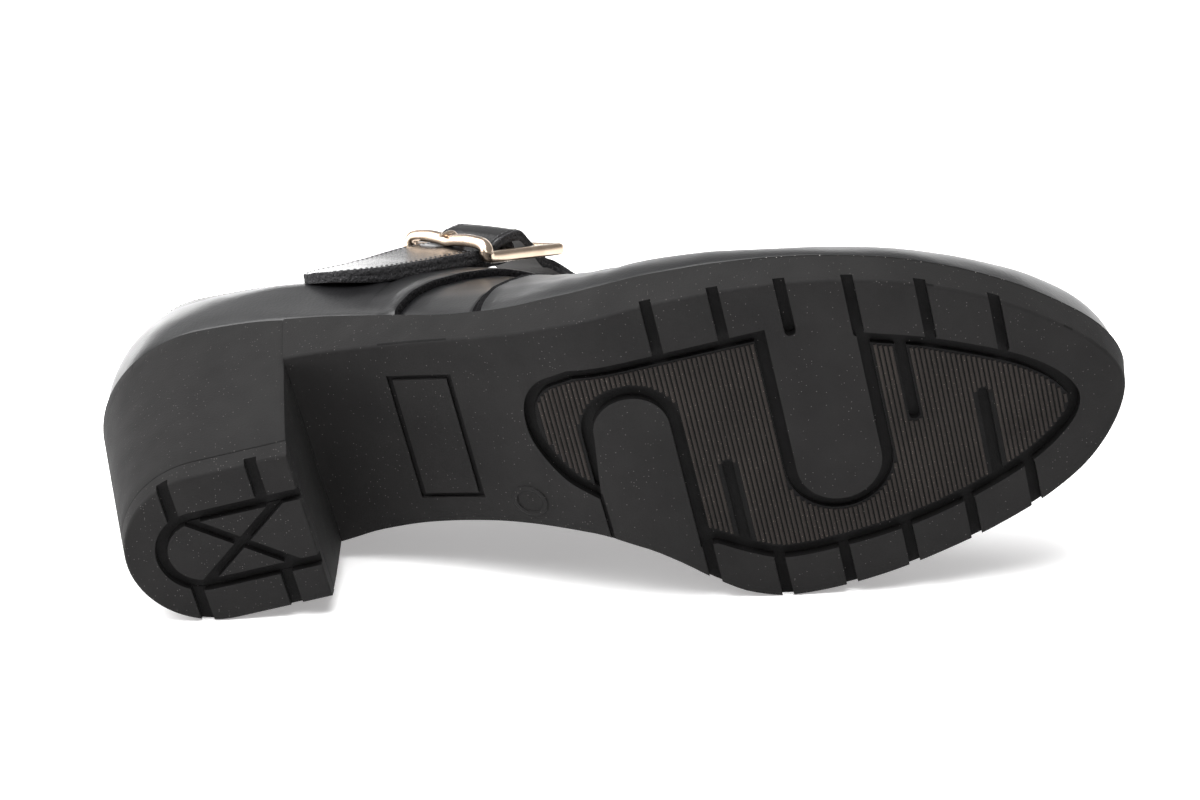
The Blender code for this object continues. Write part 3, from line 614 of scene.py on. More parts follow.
def end_at(path, x):
    """Move the first point of a path along its first leg, to a given x."""
    leg = path[1] - path[0]
    path[0] = path[0] + leg * (x - path[0][0]) / leg[0]
    return path


def pad_outline():
    """Edge of the ribbed pad, which the moat parts from the border and the two fingers."""
    lateral = LATERAL_FINGER
    medial = MEDIAL_FINGER
    wide = lateral["radius"] + MOAT_WIDTH
    round_wide = medial["radius"] + MOAT_WIDTH
    rear = end_at(inset_path(smooth_path(RECESS_REAR, 8), MOAT_WIDTH), medial["x"] - round_wide)
    front = end_at(inset_path(RECESS_FRONT, MOAT_WIDTH), lateral["x"] + wide)
    front = end_at(front[::-1].copy(), medial["x"] + round_wide)[::-1]
    outline = list(rear)
    outline.append(np.array((lateral["x"] - wide, RECESS_CORNER[1] + MOAT_WIDTH)))
    outline += arc(lateral["x"], lateral["end_y"], wide, 180, 0, 30)
    outline += smooth_path(front, 6)
    outline += arc(medial["x"], medial["end_y"], round_wide, 0, -180, 30)
    return outline


def tread_pad_body():
    """Raised pad in the recess, below the fine ribs. All of it takes the darker groove finish, painted shade
    in the recess.
    """
    blank = prism(pad_outline(), PAD_DEPTH, RECESS_DEPTH + 0.1)
    grooves = [(groove_outline(*row, CHANNEL_HALF), RECESS_DEPTH + 1.0) for row in CHANNELS]
    bm = carve("tread_pad", blank, grooves)
    soften(bm, *PAD_BEVEL, highest=PAD_DEPTH + 0.01)
    # Whole pad in the darker groove finish: painted shade in the recess
    for face in bm.faces:
        face.material_index = 1
    bend_sole(bm)
    return bm


def away_from(points, outline):
    """Distance of each point from a closed line."""
    ends = np.roll(outline, -1, axis=0)
    nearest = np.full(len(points), 1e9)
    for a, b in zip(outline, ends):
        ahead = b - a
        share = np.clip((points - a) @ ahead / max(ahead @ ahead, 1e-9), 0.0, 1.0)
        nearest = np.minimum(nearest, np.linalg.norm(points - a - share[:, None] * ahead, axis=1))
    return nearest


def within(points, outline):
    inside = np.zeros(len(points), bool)
    for a, b in zip(outline, np.roll(outline, -1, axis=0)):
        crosses = (a[1] > points[:, 1]) != (b[1] > points[:, 1])
        rise = b[1] - a[1] if b[1] != a[1] else 1e-9
        inside ^= crosses & (points[:, 0] < a[0] + (points[:, 1] - a[1]) / rise * (b[0] - a[0]))
    return inside


def tread_rib_lines():
    """Both ends of each fine rib in the recess of the tread."""
    outline = np.array(pad_outline())
    ys = np.arange(outline[:, 1].min(), outline[:, 1].max(), RIB_STEP)
    lines = []
    for x in np.arange(outline[:, 0].min() + RIB_MARGIN, outline[:, 0].max() - RIB_MARGIN, RIB_PITCH):
        points = np.stack((np.full_like(ys, x), ys), axis=1)
        free = within(points, outline) & (away_from(points, outline) > RIB_MARGIN)
        for channel_x, open_y, blind_y in CHANNELS:
            beyond = ys - np.clip(ys, min(open_y, blind_y), max(open_y, blind_y))
            free &= np.hypot(x - channel_x, beyond) > CHANNEL_HALF + RIB_MARGIN
        edges = np.flatnonzero(np.diff(np.concatenate(([0], free.astype(int), [0]))))
        z = float(PROFILE.at("under", x)) + PAD_DEPTH
        for first, last in zip(edges[::2], edges[1::2]):
            if last - first > LEAST_RIB_STEPS:
                lines.append(((x, ys[first], z), (x, ys[last - 1], z)))
    return lines


def heel_ring(share, inset=0.0):
    """Outline of the heel at a share of its height: a flat front and a round back."""
    swell = share ** HEEL_SWELL_POWER
    back = mix(HEEL_BOTTOM_BACK_X, BACK_X, share) + inset
    half = mix(HEEL_BOTTOM_HALF, float(PLAN.at("half", HEEL_SIZE_X)), swell) - inset
    centre = mix(HEEL_BOTTOM_CENTRE, float(PLAN.at("centre", HEEL_SIZE_X)), swell)
    length = mix(HEEL_BOTTOM_ROUND, HEEL_ROUND_LENGTH, swell)
    front = BREAST_X - inset
    ring = []
    for turn in np.linspace(-1, 1, HEEL_BACK_POINTS):
        x = back + (front - back) * (1 - math.cos(0.5 * math.pi * turn))
        bend = min(max(1 - (x - back) / length, 0.0), 1.0)
        ring.append((x, centre + math.copysign(half * math.sqrt(1 - bend * bend), turn)))
    for t in np.linspace(1, -1, HEEL_FRONT_POINTS)[1:-1]:
        ring.append((front, centre + half * t))
    return ring


def heel_block_body():
    """Block between the wear piece and the joint with the upper, which it follows at its top."""
    base = TOP_PIECE_HEIGHT + GAP
    full = float(PROFILE.at("joint", HEEL_HEIGHT_X))
    rings = []
    for share in np.linspace(0, 1, HEEL_LEVELS):
        ring = heel_ring(mix(base, full, share) / full)
        rings.append([(x, y, mix(base, float(PROFILE.at("joint", x)), share)) for x, y in ring])
    bm = loft(rings)
    soften(bm, *HEEL_BEVEL)
    split_along(bm, np.arange(HEEL_SPLIT, BREAST_X - 1, HEEL_SPLIT))
    for vert in bm.verts:
        if vert.co.z > float(PROFILE.at("joint", BREAST_X)) - 1.0 and abs(vert.normal.z) > 0.9:
            vert.co.z = min(vert.co.z, float(PROFILE.at("joint", vert.co.x)))
    return bm


def heel_groove_cutters():
    """Grooves under the heel: one round the edge, the notches outside it and a plain cross inside."""
    y = HEEL_GROOVE_Y
    middle = HEEL_BOTTOM_CENTRE
    arc_points = arc(HEEL_ARC_X, middle, y, 90, 270, 26)
    runner = [(60.0, middle + y)] + [tuple(p) for p in arc_points] + [(60.0, middle - y)]
    cutters = [(strip(runner, HEEL_GROOVE_WIDTH), HEEL_GROOVE_DEPTH)]
    for x in HEEL_NOTCH_X:
        for side in (LATERAL, MEDIAL):
            notch = strip(((x, middle + side * y), (x, side * 40.0)), HEEL_GROOVE_WIDTH)
            cutters.append((notch, HEEL_GROOVE_DEPTH - 0.15))
    for line, depth in zip(HEEL_CROSS, HEEL_CROSS_DEPTHS):
        cutters.append((strip(line, HEEL_CROSS_WIDTH), depth))
    return cutters


def heel_top_piece_body():
    """Wear piece under the heel, with a rounded lower edge."""
    heel_height = float(PROFILE.at("joint", HEEL_HEIGHT_X))
    rings = []
    for height, inset in TOP_PIECE_RINGS:
        rings.append([(x, y, height) for x, y in heel_ring(height / heel_height, inset)])
    bm = carve("heel_top_piece", loft(rings), heel_groove_cutters())
    soften(bm, *CARVED_BEVEL, highest=BEVEL_BELOW)
    mark_deep_faces(bm, *DEEP_IN_HEEL)
    return bm


def insole_body():
    """Footbed with a rounded edge, laid along the joint of sole and upper."""
    turns = np.linspace(0, 2, 180, endpoint=False)
    bm = loft([[(p[0], p[1], height) for p in inset_point(turns, inset)] for inset, height in INSOLE_RINGS])
    split_along(bm, np.arange(0, TOE_X - 6, 4.0))
    for vert in bm.verts:
        vert.co.z += float(PROFILE.at("joint", vert.co.x))
    return bm


def rib_point(along, side, height):
    """Points on the inside of the upper: height is 0 at the sole and 1 at the collar or the ridge."""
    along, height = np.broadcast_arrays(np.asarray(along, float), np.asarray(height, float))
    turn = along if side == LATERAL else 2 - along
    foot_x = loop_x(along)
    zero = np.zeros_like(foot_x)
    foot = inset_point(turn, UPPER_INSET)
    foot = np.stack((foot[..., 0], foot[..., 1], PROFILE.at("joint", foot[..., 0]) + GAP), axis=-1)
    normal = plan_normal(turn)
    outward = np.stack((normal[..., 0], normal[..., 1], zero), axis=-1)
    size = {name: RIBS.at(name, foot_x) for name in RIBS.values}
    top_x = size["top_x"]
    reach = (top_x - (COLLAR_BACK_X + COLLAR_FRONT_X) / 2) / ((COLLAR_FRONT_X - COLLAR_BACK_X) / 2)
    power = np.where(reach < 0, COLLAR_REAR_POWERS[0], COLLAR_FRONT_POWERS[0])
    root = np.where(reach < 0, COLLAR_REAR_POWERS[1], COLLAR_FRONT_POWERS[1])
    half = COLLAR_HALF * np.maximum(1 - np.abs(reach) ** power, 0.0) ** root
    closed = foot_x >= THROAT_X - 1e-6
    top = np.stack((top_x, RIDGE.at("y", top_x) + side * np.where(closed, 0.0, half),
                    np.where(closed, RIDGE.at("height", top_x), COLLAR.at("height", top_x))), axis=-1)
    out = size["out_lateral" if side == LATERAL else "out_medial"]
    start = out[..., None] * outward + np.stack((zero, zero, size["up"]), axis=-1)
    fall = (RIDGE.at("height", top_x + 1) - RIDGE.at("height", top_x - 1)) / 2
    rise = size["rise"] + np.where(closed, size["forward"] * fall, 0.0)
    end = np.stack((size["forward"], zero, rise), axis=-1) - size["inward"][..., None] * outward
    t = height[..., None]
    return (foot * (1 + 2 * t) * (1 - t) ** 2 + top * t * t * (3 - 2 * t)
            + start * t * (1 - t) ** 2 - end * t * t * (1 - t))


def rib_normal(along, side, height):
    """Directions out of the upper, read from the points around a place on it."""
    step = 0.004
    along, height = np.broadcast_arrays(np.asarray(along, float), np.asarray(height, float))
    level = np.minimum(height, 0.97)

    def beside(place):
        over = (place < 0) | (place > 1)
        folded = np.where(place < 0, -place, np.where(place > 1, 2 - place, place))
        return np.where(over[..., None], rib_point(folded, -side, level), rib_point(folded, side, level))

    above = rib_point(along, side, np.minimum(height + step, 1.0))
    up = above - rib_point(along, side, np.maximum(height - step, 0.0))
    return unit(np.cross(beside(along + step) - beside(along - step), up) * -side)


def bell(value, middle, width):
    return np.exp(-((value - middle) / width) ** 2)


def ramp(value, low, high):
    t = np.clip((value - low) / (high - low), 0.0, 1.0)
    return t * t * (3 - 2 * t)


def leather_relief(points, height, side):
    """Slow unevenness, a soft fold below the collar and flex creases across the ball of the foot."""
    x, y, z = points[..., 0], points[..., 1], points[..., 2]
    slow = 0.14 * np.sin(x / 8.3 + 0.9 * np.sin(z / 7.1)) * np.sin(z / 6.3 + x / 21.0 + side)
    slow += 0.08 * np.sin(x / 3.9 + z / 5.2 + 2.0 * side) * np.sin(z / 3.1 - y / 9.0)
    fold = -0.45 * bell(height, 0.76, 0.05) * ramp(x, 8, 22) * (1 - ramp(x, 52, 66))
    bulge = 1.2 * bell(height, 0.5, 0.2) * ramp(x, 30, 48) * (1 - ramp(x, 62, 76)) * (side == LATERAL)
    creases = np.zeros_like(x)
    for k, (place, lean, depth) in enumerate(CREASES):
        line = place + lean * (height - 0.3) + 1.2 * np.sin(7 * height + k)
        fade = ramp(height, 0.06, 0.2) * (1 - ramp(height, 0.6, 0.85))
        creases -= depth * bell(x, line, 1.0 + 0.2 * k) * fade
    return slow * ramp(height, 0.0, 0.12) + fold + bulge + creases


def panel_columns():
    """Columns of the upper: place at the sole, place at the top, and how far the panel stands proud."""
    throat = float(loop_along(THROAT_X))
    quarter, quarter_top = [float(loop_along(x)) for x in QUARTER_EDGE]
    vamp, vamp_top = [float(loop_along(x)) for x in VAMP_EDGE]
    one = float(loop_along(QUARTER_EDGE[0] + 1.0)) - quarter
    crowded = (1 - np.linspace(0, 1, COLLAR_COLUMNS)) ** COLLAR_CROWDING
    columns = [(place, place, QUARTER_RAISE) for place in throat * (1 - crowded)]
    stop = QUARTER_STOP * one
    for t in np.linspace(0, 1, QUARTER_COLUMNS)[1:]:
        swell = mix(QUARTER_RAISE, EDGE_RAISE, ramp(t, 0.3, 0.95))
        columns.append((mix(throat, quarter - stop, t), mix(throat, quarter_top - stop, t), swell))
    for off, raised in QUARTER_STEP:
        columns.append((quarter + off * one, quarter_top + off * one, raised))
    stop = PANEL_STOP * one
    for t in np.linspace(0, 1, PANEL_COLUMNS)[1:-1]:
        columns.append((mix(quarter, vamp - stop, t), mix(quarter_top, vamp_top - stop, t), 0.0))
    for off, raised in VAMP_STEP:
        columns.append((vamp + off * one, vamp_top + off * one, raised))
    stop = VAMP_STOP * one
    for t in np.linspace(0, 1, VAMP_COLUMNS)[1:]:
        columns.append((mix(vamp + stop, 1.0, t), mix(vamp_top + stop, 1.0, t), VAMP_RAISE))
    return np.array(columns)


def upper_surface(along, side, height, proud):
    """Points on the outside of the upper. Its lowest part is tucked in behind the sole's edge."""
    base = rib_point(along, side, height)
    tucked = FEATHER_TUCK * (1 - ramp(height, 0.0, 0.035))
    lift = WALL + proud - tucked + leather_relief(base, height, side)
    return base + lift[..., None] * rib_normal(along, side, height)


def upper_body():
    """Hollow wall with leather outside, raw cut edges at the panels' steps and lining inside. The sunk crease
    before the vamp's edge takes the dark cut-edge finish and the middle panel a darker, less shiny copy of
    the leather: both painted shade.
    """
    columns = panel_columns()
    heights = np.linspace(0, 1, UPPER_ROWS)
    foot, top, proud = [column[:, None] for column in columns.T]
    along = mix(foot, top, heights[None, :] ** EDGE_SWEEP)
    height = np.broadcast_to(heights, along.shape)
    closed = columns[:, 0] >= float(loop_along(THROAT_X)) - 1e-6
    skins = []
    for outer in (True, False):
        sides = []
        for side in (LATERAL, MEDIAL):
            if outer:
                points = upper_surface(along, side, height, np.broadcast_to(proud, along.shape))
            else:
                points = rib_point(along, side, height)
            points[:, 0, 2] = PROFILE.at("joint", points[:, 0, 0]) + (0.05 if outer else GAP)
            sides.append(points)
        both = np.stack(sides)
        for shared in (np.s_[:, 0, :], np.s_[:, -1, :], np.s_[:, closed, -1]):
            both[shared] = both[shared].mean(axis=0)
        skins.append(both)
    bm = bmesh.new()
    count, rows = along.shape
    # Steps take the cut-edge finish, and so does the sunk crease before the vamp's edge, as painted shade;
    # the middle panel takes the darker copy of the leather, also painted shade
    lowest = np.minimum(columns[1:, 2], columns[:-1, 2])
    cut = (np.abs(np.diff(columns[:, 2])) > CUT_STEP) | (lowest < PAINTED_CREASE_DEPTH)
    kinds = np.where(cut, 1, np.where(lowest <= 0, 3, 0)).tolist()
    verts = [[[[bm.verts.new(p) for p in column] for column in side] for side in skin] for skin in skins]
    for s, side in enumerate((LATERAL, MEDIAL)):
        for i in range(count - 1):
            for j in range(rows - 1):
                for skin in (0, 1):
                    grid = verts[skin][s]
                    corners = [grid[i][j], grid[i + 1][j], grid[i + 1][j + 1], grid[i][j + 1]]
                    face = bm.faces.new(corners if (side == LATERAL) == (skin == 0) else corners[::-1])
                    face.material_index = 2 if skin else kinds[i]
            for j in (0, rows - 1):
                if j and closed[i]:
                    continue
                outer = verts[0][s][i][j], verts[0][s][i + 1][j]
                inner = verts[1][s][i][j], verts[1][s][i + 1][j]
                face = bm.faces.new((outer[0], inner[0], inner[1], outer[1]))
                face.material_index = 1 if j else 2
    bmesh.ops.remove_doubles(bm, verts=bm.verts, dist=0.0005)
    bmesh.ops.recalc_face_normals(bm, faces=bm.faces)
    return bm


class StrapPath:
    """Places on and above the strap, which keeps its own arch and is lifted where the upper is in its way."""

    def __init__(self):
        places, heights = [np.linspace(0, 1, count) for count in SKIN_GRID]
        points = []
        faces = []
        for side in (LATERAL, MEDIAL):
            start = len(points)
            along, height = np.meshgrid(places, heights, indexing="ij")
            grid = rib_point(along, side, height) + (WALL + QUARTER_RAISE) * rib_normal(along, side, height)
            points += [Vector(p) for p in grid.reshape(-1, 3)]
            for i in range(len(places) - 1):
                for j in range(len(heights) - 1):
                    a = start + i * len(heights) + j
                    faces.append((a, a + len(heights), a + len(heights) + 1, a + 1))
        self.tree = BVHTree.FromPolygons(points, faces)
        self.stations = np.linspace(STRAP_TAIL, 1, STRAP_STATIONS)
        lifts = np.array([self.skin_height(along) for along in self.stations])
        for _ in range(SPREAD_PASSES):
            lifts[1:-1] = np.maximum(np.maximum(lifts[:-2], lifts[2:]), lifts[1:-1])
        for _ in range(SMOOTH_PASSES):
            lifts[1:-1] = (lifts[:-2] + 2 * lifts[1:-1] + lifts[2:]) / 4
        self.lifts = lifts

    def axes(self, along):
        """Middle of the strap with its directions across, towards the heel, and outwards."""
        def middle(share):
            return np.array([float(STRAP.at(name, share)) for name in ("x", "y", "z")])

        ahead = unit(middle(min(along + 0.02, 1.0)) - middle(max(along - 0.02, STRAP_TAIL)))
        across = np.array([float(STRAP.at(name, along)) for name in ("back_x", "back_y", "back_z")])
        across = unit(across - ahead * across.dot(ahead))
        return middle(along), across, np.cross(across, ahead)

    def skin_height(self, along):
        """Height of the upper above the strap's middle line, where the upper would run into the strap."""
        middle, across, outward = self.axes(along)
        heights = [0.0]
        for offset in np.linspace(-STRAP_WIDTH / 2, STRAP_WIDTH / 2, SKIN_RAYS):
            start = middle + offset * across + SKIN_RAY * outward
            place, _, _, far = self.tree.ray_cast(Vector(start), Vector(-outward), 2 * SKIN_RAY)
            if place is not None:
                heights.append(SKIN_RAY - far)
        return max(heights)

    def frame(self, along, bump=True):
        """Middle of the strap's underside at a place, with its directions across and outwards."""
        middle, across, outward = self.axes(along)
        lift = float(np.interp(along, self.stations, self.lifts)) + STRAP_CLEAR
        if bump:
            lift += float(STRAP_BUMP.at("lift", along))
        return middle + lift * outward, across, outward

    def point(self, along, offset, height, bump=True):
        middle, across, outward = self.frame(along, bump)
        return middle + offset * across + height * outward


def strap_half_width(along):
    """Half width of the strap, rounded off at its tip."""
    tip = np.clip((along - 0.9) / 0.1, 0.0, 1.0)
    return STRAP_WIDTH / 2 * np.sqrt(1 - 0.93 * tip ** 2.6)


def strap_section(half, low, droop):
    """Outline across the strap, with its sole side turned down, and the finish at each place of it."""
    high = STRAP_THICKNESS
    under = [(s * (half - 0.25), low) for s in np.linspace(-1, 1, 13)]
    rear = [(half + out, mix(low, high, share)) for out, share in STRAP_LAYERS]
    face = [(s * (half - 0.3), high + 0.2 * (1 - s * s)) for s in np.linspace(1, -1, 17)]
    front = [(-half - out, mix(low, high, share)) for out, share in STRAP_LAYERS[::-1]]
    section = [(a, h - droop * min(max(-a / STRAP_WIDTH * 2, 0.0), 1.0) ** 2)
               for a, h in under + rear + face + front]
    kinds = [2] * (len(under) - 1) + [1] * (len(rear) + 1) + [0] * (len(face) - 1) + [1] * (len(front) + 1)
    return section, kinds


def strap_body(path):
    """Strap of two layers: face leather, raw edges all round and a dark lining underneath."""
    rings = []
    for along in mix(STRAP_TAIL, 1.0, 1 - (1 - np.linspace(0, 1, STRAP_SPANS + 1)) ** STRAP_CROWDING):
        middle, across, outward = path.frame(along)
        low, droop = [float(STRAP_EDGE.at(name, along)) for name in ("low", "droop")]
        section, kinds = strap_section(float(strap_half_width(along)), low, droop)
        rings.append([middle + a * across + h * outward for a, h in section])
    return loft(rings, kinds=kinds, cap_kind=1)


def sweep(points, outward, width, depth, closed, sides=14, taper=None):
    """Bar with a rounded square section along a line of points. Its depth lies in the outward direction."""
    points = np.array(points)
    count = len(points)
    width = np.broadcast_to(width, count)
    taper = np.ones(count) if taper is None else taper
    angles = np.arange(sides) * 2 * math.pi / sides
    section = [[math.copysign(abs(f(a)) ** 0.7, f(a)) for f in (math.cos, math.sin)] for a in angles]
    rings = []
    for i, point in enumerate(points):
        before = points[i - 1] if closed or i else point
        after = points[(i + 1) % count] if closed or i < count - 1 else point
        ahead = unit(after - before)
        out = unit(outward - ahead * outward.dot(ahead))
        beside = np.cross(ahead, out)
        rings.append([point + taper[i] * (width[i] * c * beside + depth * d * out) for c, d in section])
    return loft(rings, closed)


def merged(bodies):
    """Several bodies in one bmesh."""
    total = bmesh.new()
    for body in bodies:
        mesh = mesh_of("part", body)
        total.from_mesh(mesh)
        bpy.data.meshes.remove(mesh)
    return total


def buckle_place(path, share, offset, height):
    """Place on the stiff buckle: share of the way from end bar to front bar, offset across, height above."""
    end, across, outward = path.frame(END_BAR_AT, False)
    return end + share * BUCKLE_LENGTH * np.cross(across, outward) + offset * across + height * outward


def buckle_frame_body(path):
    """Cast frame: the end bar has two humps over the strap, the front bar and sides lie flat."""
    half = BUCKLE_HALF_WIDTH
    over = STRAP_THICKNESS + BAR_DEPTH + GAP
    low = BAR_RADIUS + GAP
    corners = [(0.0, -share * half, rise * over) for share, rise in HUMPS]
    corners += [(0.0, share * half, rise * over) for share, rise in HUMPS[-2::-1]]
    corners += [(share, offset * half, low - FRAME_TWIST * share * (1 + offset) / 2)
                for share, offset in FRAME_LOOP]
    rows = [(*buckle_place(path, *corner), mix(BAR_WIDE, BAR_SLIM, min(corner[0] * 8, 1.0)))
            for corner in corners]
    loop = np.array(smooth_path(rows, 6, closed=True))
    outward = path.frame(END_BAR_AT, False)[2]
    frame = sweep(loop[:, :3], outward, loop[:, 3], BAR_DEPTH, True, sides=18)
    ends = [buckle_place(path, 0.5, offset, low) for offset in np.linspace(-half, half, 9)]
    return merged((frame, sweep(ends, outward, CENTRE_BAR, CENTRE_BAR, False)))


def buckle_prong_body(path):
    """Pin from the strap up and over the end bar. Each place is before or behind the end bar."""
    above = STRAP_THICKNESS + PRONG_RADIUS + GAP
    over = STRAP_THICKNESS + 2 * BAR_RADIUS + PRONG_RADIUS + 2 * GAP
    places = ((-0.04, above, True), (-0.028, above + 0.5, True), (-0.012, over, False), (0.004, over, False),
              (0.024, over - 0.3, False))
    points = smooth_path([path.point(END_BAR_AT + off, 0.0, height, bump) for off, height, bump in places], 6)
    taper = 1 - 0.45 * np.linspace(0, 1, len(points)) ** 4
    outward = path.frame(END_BAR_AT, False)[2]
    return sweep(points, outward, PRONG_RADIUS * 1.15, PRONG_RADIUS, False, taper=taper)


def buckle_tab_body(path):
    """Leather tab that holds the buckle: from the quarter, round the centre bar and back."""
    bar = 0.5
    half = TAB_THICKNESS / 2
    wide = TAB_WIDTH / 2
    reach = (CENTRE_BAR + half + 0.15) / BUCKLE_LENGTH
    places = [(-0.3, -1.7), (0.0, -1.6), (0.2, -1.5), (bar - 0.1, -1.1)]
    for angle in np.radians(np.linspace(-90, 150, 9)):
        height = BAR_RADIUS + GAP + reach * BUCKLE_LENGTH * math.sin(angle)
        places.append((bar + reach * math.cos(angle), height))
    line = smooth_path([buckle_place(path, share, 0.0, height) for share, height in places], 3)
    across = path.frame(END_BAR_AT, False)[1]
    section = [(-wide, -half), (-wide / 2, -half), (wide / 2, -half), (wide, -half), (wide + 0.2, 0.0)]
    section += [(-a, -h) for a, h in section]
    rings = []
    for i, point in enumerate(line):
        ahead = unit(line[min(i + 1, len(line) - 1)] - line[max(i - 1, 0)])
        out = np.cross(across, ahead)
        rings.append([point + a * across + h * out for a, h in section])
    return loft(rings, kinds=[0, 0, 0, 1, 1] * 2)


def waist_ring_body():
    """Plain raised ring on the underside of the waist."""
    turns, angles = [[2 * math.pi * i / count for i in range(count)] for count in RING_SPANS]
    wide, high = RING_SECTION
    rings = []
    for turn in turns:
        ring = []
        for a in angles:
            radius = RING_RADIUS + wide * math.cos(a)
            x = RING_PLACE[0] + radius * math.cos(turn)
            y = RING_PLACE[1] + radius * math.sin(turn)
            ring.append((x, y, float(PROFILE.at("under", x)) - 0.02 + high * math.sin(a)))
        rings.append(ring)
    return loft(rings, closed=True)


def add(tree, kind, inputs=None, **settings):
    """New node with its settings, input values and links."""
    node = tree.nodes.new(kind)
    for key, value in settings.items():
        setattr(node, key, value)
    for key, value in (inputs or {}).items():
        if isinstance(value, bpy.types.NodeSocket):
            tree.links.new(value, node.inputs[key])
        else:
            node.inputs[key].default_value = value
    return node


def maths(tree, operation, a, b):
    return add(tree, "ShaderNodeMath", {0: a, 1: b}, operation=operation).outputs[0]


def new_group(name, kind, inputs, output):
    """Node group with its named inputs and its one output."""
    tree = bpy.data.node_groups.new(name, kind)
    for title, socket_kind in inputs.items():
        tree.interface.new_socket(title, in_out="INPUT", socket_type="NodeSocket" + socket_kind)
    title, socket_kind = output
    tree.interface.new_socket(title, in_out="OUTPUT", socket_type="NodeSocket" + socket_kind)
    return tree, tree.nodes.new("NodeGroupInput").outputs, tree.nodes.new("NodeGroupOutput").inputs


def specks_group():
    """Mask of small scattered specks, such as dust."""
    tree, given, result = new_group("specks", "ShaderNodeTree", {
        "Place": "Vector", "Scale": "Float", "Size": "Float", "Share": "Float"}, ("Mask", "Float"))
    cells = add(tree, "ShaderNodeTexVoronoi", {"Vector": given["Place"], "Scale": given["Scale"]}).outputs
    near = maths(tree, "LESS_THAN", cells["Distance"], given["Size"])
    pick = add(tree, "ShaderNodeSeparateColor", {0: cells["Color"]}).outputs[0]
    some = maths(tree, "LESS_THAN", pick, given["Share"])
    tree.links.new(maths(tree, "MULTIPLY", near, some), result["Mask"])


def cloud_group():
    """Slow uneven value between two limits."""
    tree, given, result = new_group("cloud", "ShaderNodeTree", {
        "Place": "Vector", "Scale": "Float", "Low": "Float", "High": "Float"}, ("Value", "Float"))
    noise = add(tree, "ShaderNodeTexNoise", {"Vector": given["Place"], "Scale": given["Scale"], "Detail": 1.5,
                                             "Roughness": 0.5}).outputs[0]
    spread = add(tree, "ShaderNodeMapRange", {0: noise, 1: 0.0, 2: 1.0, 3: given["Low"], 4: given["High"]})
    tree.links.new(spread.outputs[0], result["Value"])


def grain_group():
    """Height of a fine pebbled grain, as on leather or moulded rubber."""
    tree, given, result = new_group("grain", "ShaderNodeTree", {
        "Place": "Vector", "Scale": "Float", "Pebble": "Float"}, ("Height", "Float"))
    cells = add(tree, "ShaderNodeTexVoronoi", {"Vector": given["Place"], "Scale": given["Scale"]},
                feature="SMOOTH_F1")
    finer = maths(tree, "MULTIPLY", given["Scale"], 1.6)
    noise = add(tree, "ShaderNodeTexNoise", {"Vector": given["Place"], "Scale": finer, "Detail": 1.0})
    pebble = maths(tree, "MULTIPLY", cells.outputs["Distance"], given["Pebble"])
    tree.links.new(maths(tree, "ADD", pebble, noise.outputs[0]), result["Height"])


class Finish:
    """Material with short ways to its node groups, which read the object's own coordinates."""

    def __init__(self, name):
        self.material = bpy.data.materials.new(name)
        self.material.use_nodes = True
        self.tree = self.material.node_tree
        self.shader = self.tree.nodes["Principled BSDF"].inputs
        self.place = add(self.tree, "ShaderNodeTexCoord").outputs["Object"]

    def group(self, name, **values):
        inputs = {"Place": self.place, **values}
        return add(self.tree, "ShaderNodeGroup", inputs, node_tree=bpy.data.node_groups[name]).outputs[0]

    def cloud(self, scale, low, high):
        return self.group("cloud", Scale=scale, Low=low, High=high)

    def colour(self, mask, base, other):
        """Colour between two, by a mask."""
        mixed = add(self.tree, "ShaderNodeMix", {0: mask, 6: (*base, 1.0), 7: (*other, 1.0)},
                    data_type="RGBA")
        self.tree.links.new(mixed.outputs[2], self.shader["Base Color"])

    def rough(self, scale, low, high):
        self.tree.links.new(self.cloud(scale, low, high), self.shader["Roughness"])

    def relief(self, scale, pebble, strength, distance=0.0002):
        grain = self.group("grain", Scale=scale, Pebble=pebble)
        bump = add(self.tree, "ShaderNodeBump", {"Strength": strength, "Distance": distance, "Height": grain})
        self.tree.links.new(bump.outputs[0], self.shader["Normal"])

    def set(self, values):
        for name, value in values.items():
            self.shader[name].default_value = value
        return self.material


def rubber_finish(name, base, pale, speck_share, film_high):
    """Matt moulded rubber with a little dust."""
    finish = Finish(name)
    specks = finish.group("specks", Scale=1700.0, Size=0.2, Share=speck_share)
    specks = maths(finish.tree, "MULTIPLY", specks, 0.5)
    finish.colour(maths(finish.tree, "ADD", specks, finish.cloud(60.0, 0.0, film_high)), base, pale)
    finish.rough(140.0, 0.68, 0.86)
    finish.relief(1500.0, 0.5, 0.25)
    return finish.set({"Specular IOR Level": 0.13})


def leather_finish(name, base, low, high, shine=0.5):
    """Black satin leather with a fine grain."""
    finish = Finish(name)
    finish.colour(finish.cloud(85.0, 0.0, 0.5), base, [1.7 * c for c in base])
    finish.rough(120.0, low, high)
    finish.relief(1200.0, 1.4, 0.13)
    return finish.set({"Specular IOR Level": shine})


def raw_edge_finish(name, base, fibre, shine=0.5):
    """Cut edge of leather: rough, with paler fibres."""
    finish = Finish(name)
    specks = finish.group("specks", Scale=1300.0, Size=0.3, Share=0.3)
    finish.colour(maths(finish.tree, "ADD", finish.cloud(1500.0, 0.0, 0.5), specks), base, fibre)
    finish.relief(1000.0, 0.8, 0.9, 0.0006)
    return finish.set({"Roughness": 0.92, "Specular IOR Level": shine})


def lining_finish(name, base, other):
    """Soft lining leather with worn clouds and fine pores."""
    finish = Finish(name)
    finish.colour(finish.cloud(70.0, 0.0, 1.0), base, other)
    finish.relief(1100.0, 1.0, 0.2)
    return finish.set({"Roughness": 0.7})


def metal_finish(name):
    """Pale satin cast metal with faint rubbing."""
    finish = Finish(name)
    finish.colour(finish.cloud(260.0, 0.0, 1.0), (0.48, 0.365, 0.275), (0.68, 0.55, 0.435))
    finish.rough(500.0, 0.18, 0.3)
    finish.relief(900.0, 0.3, 0.06)
    return finish.set({"Metallic": 1.0})


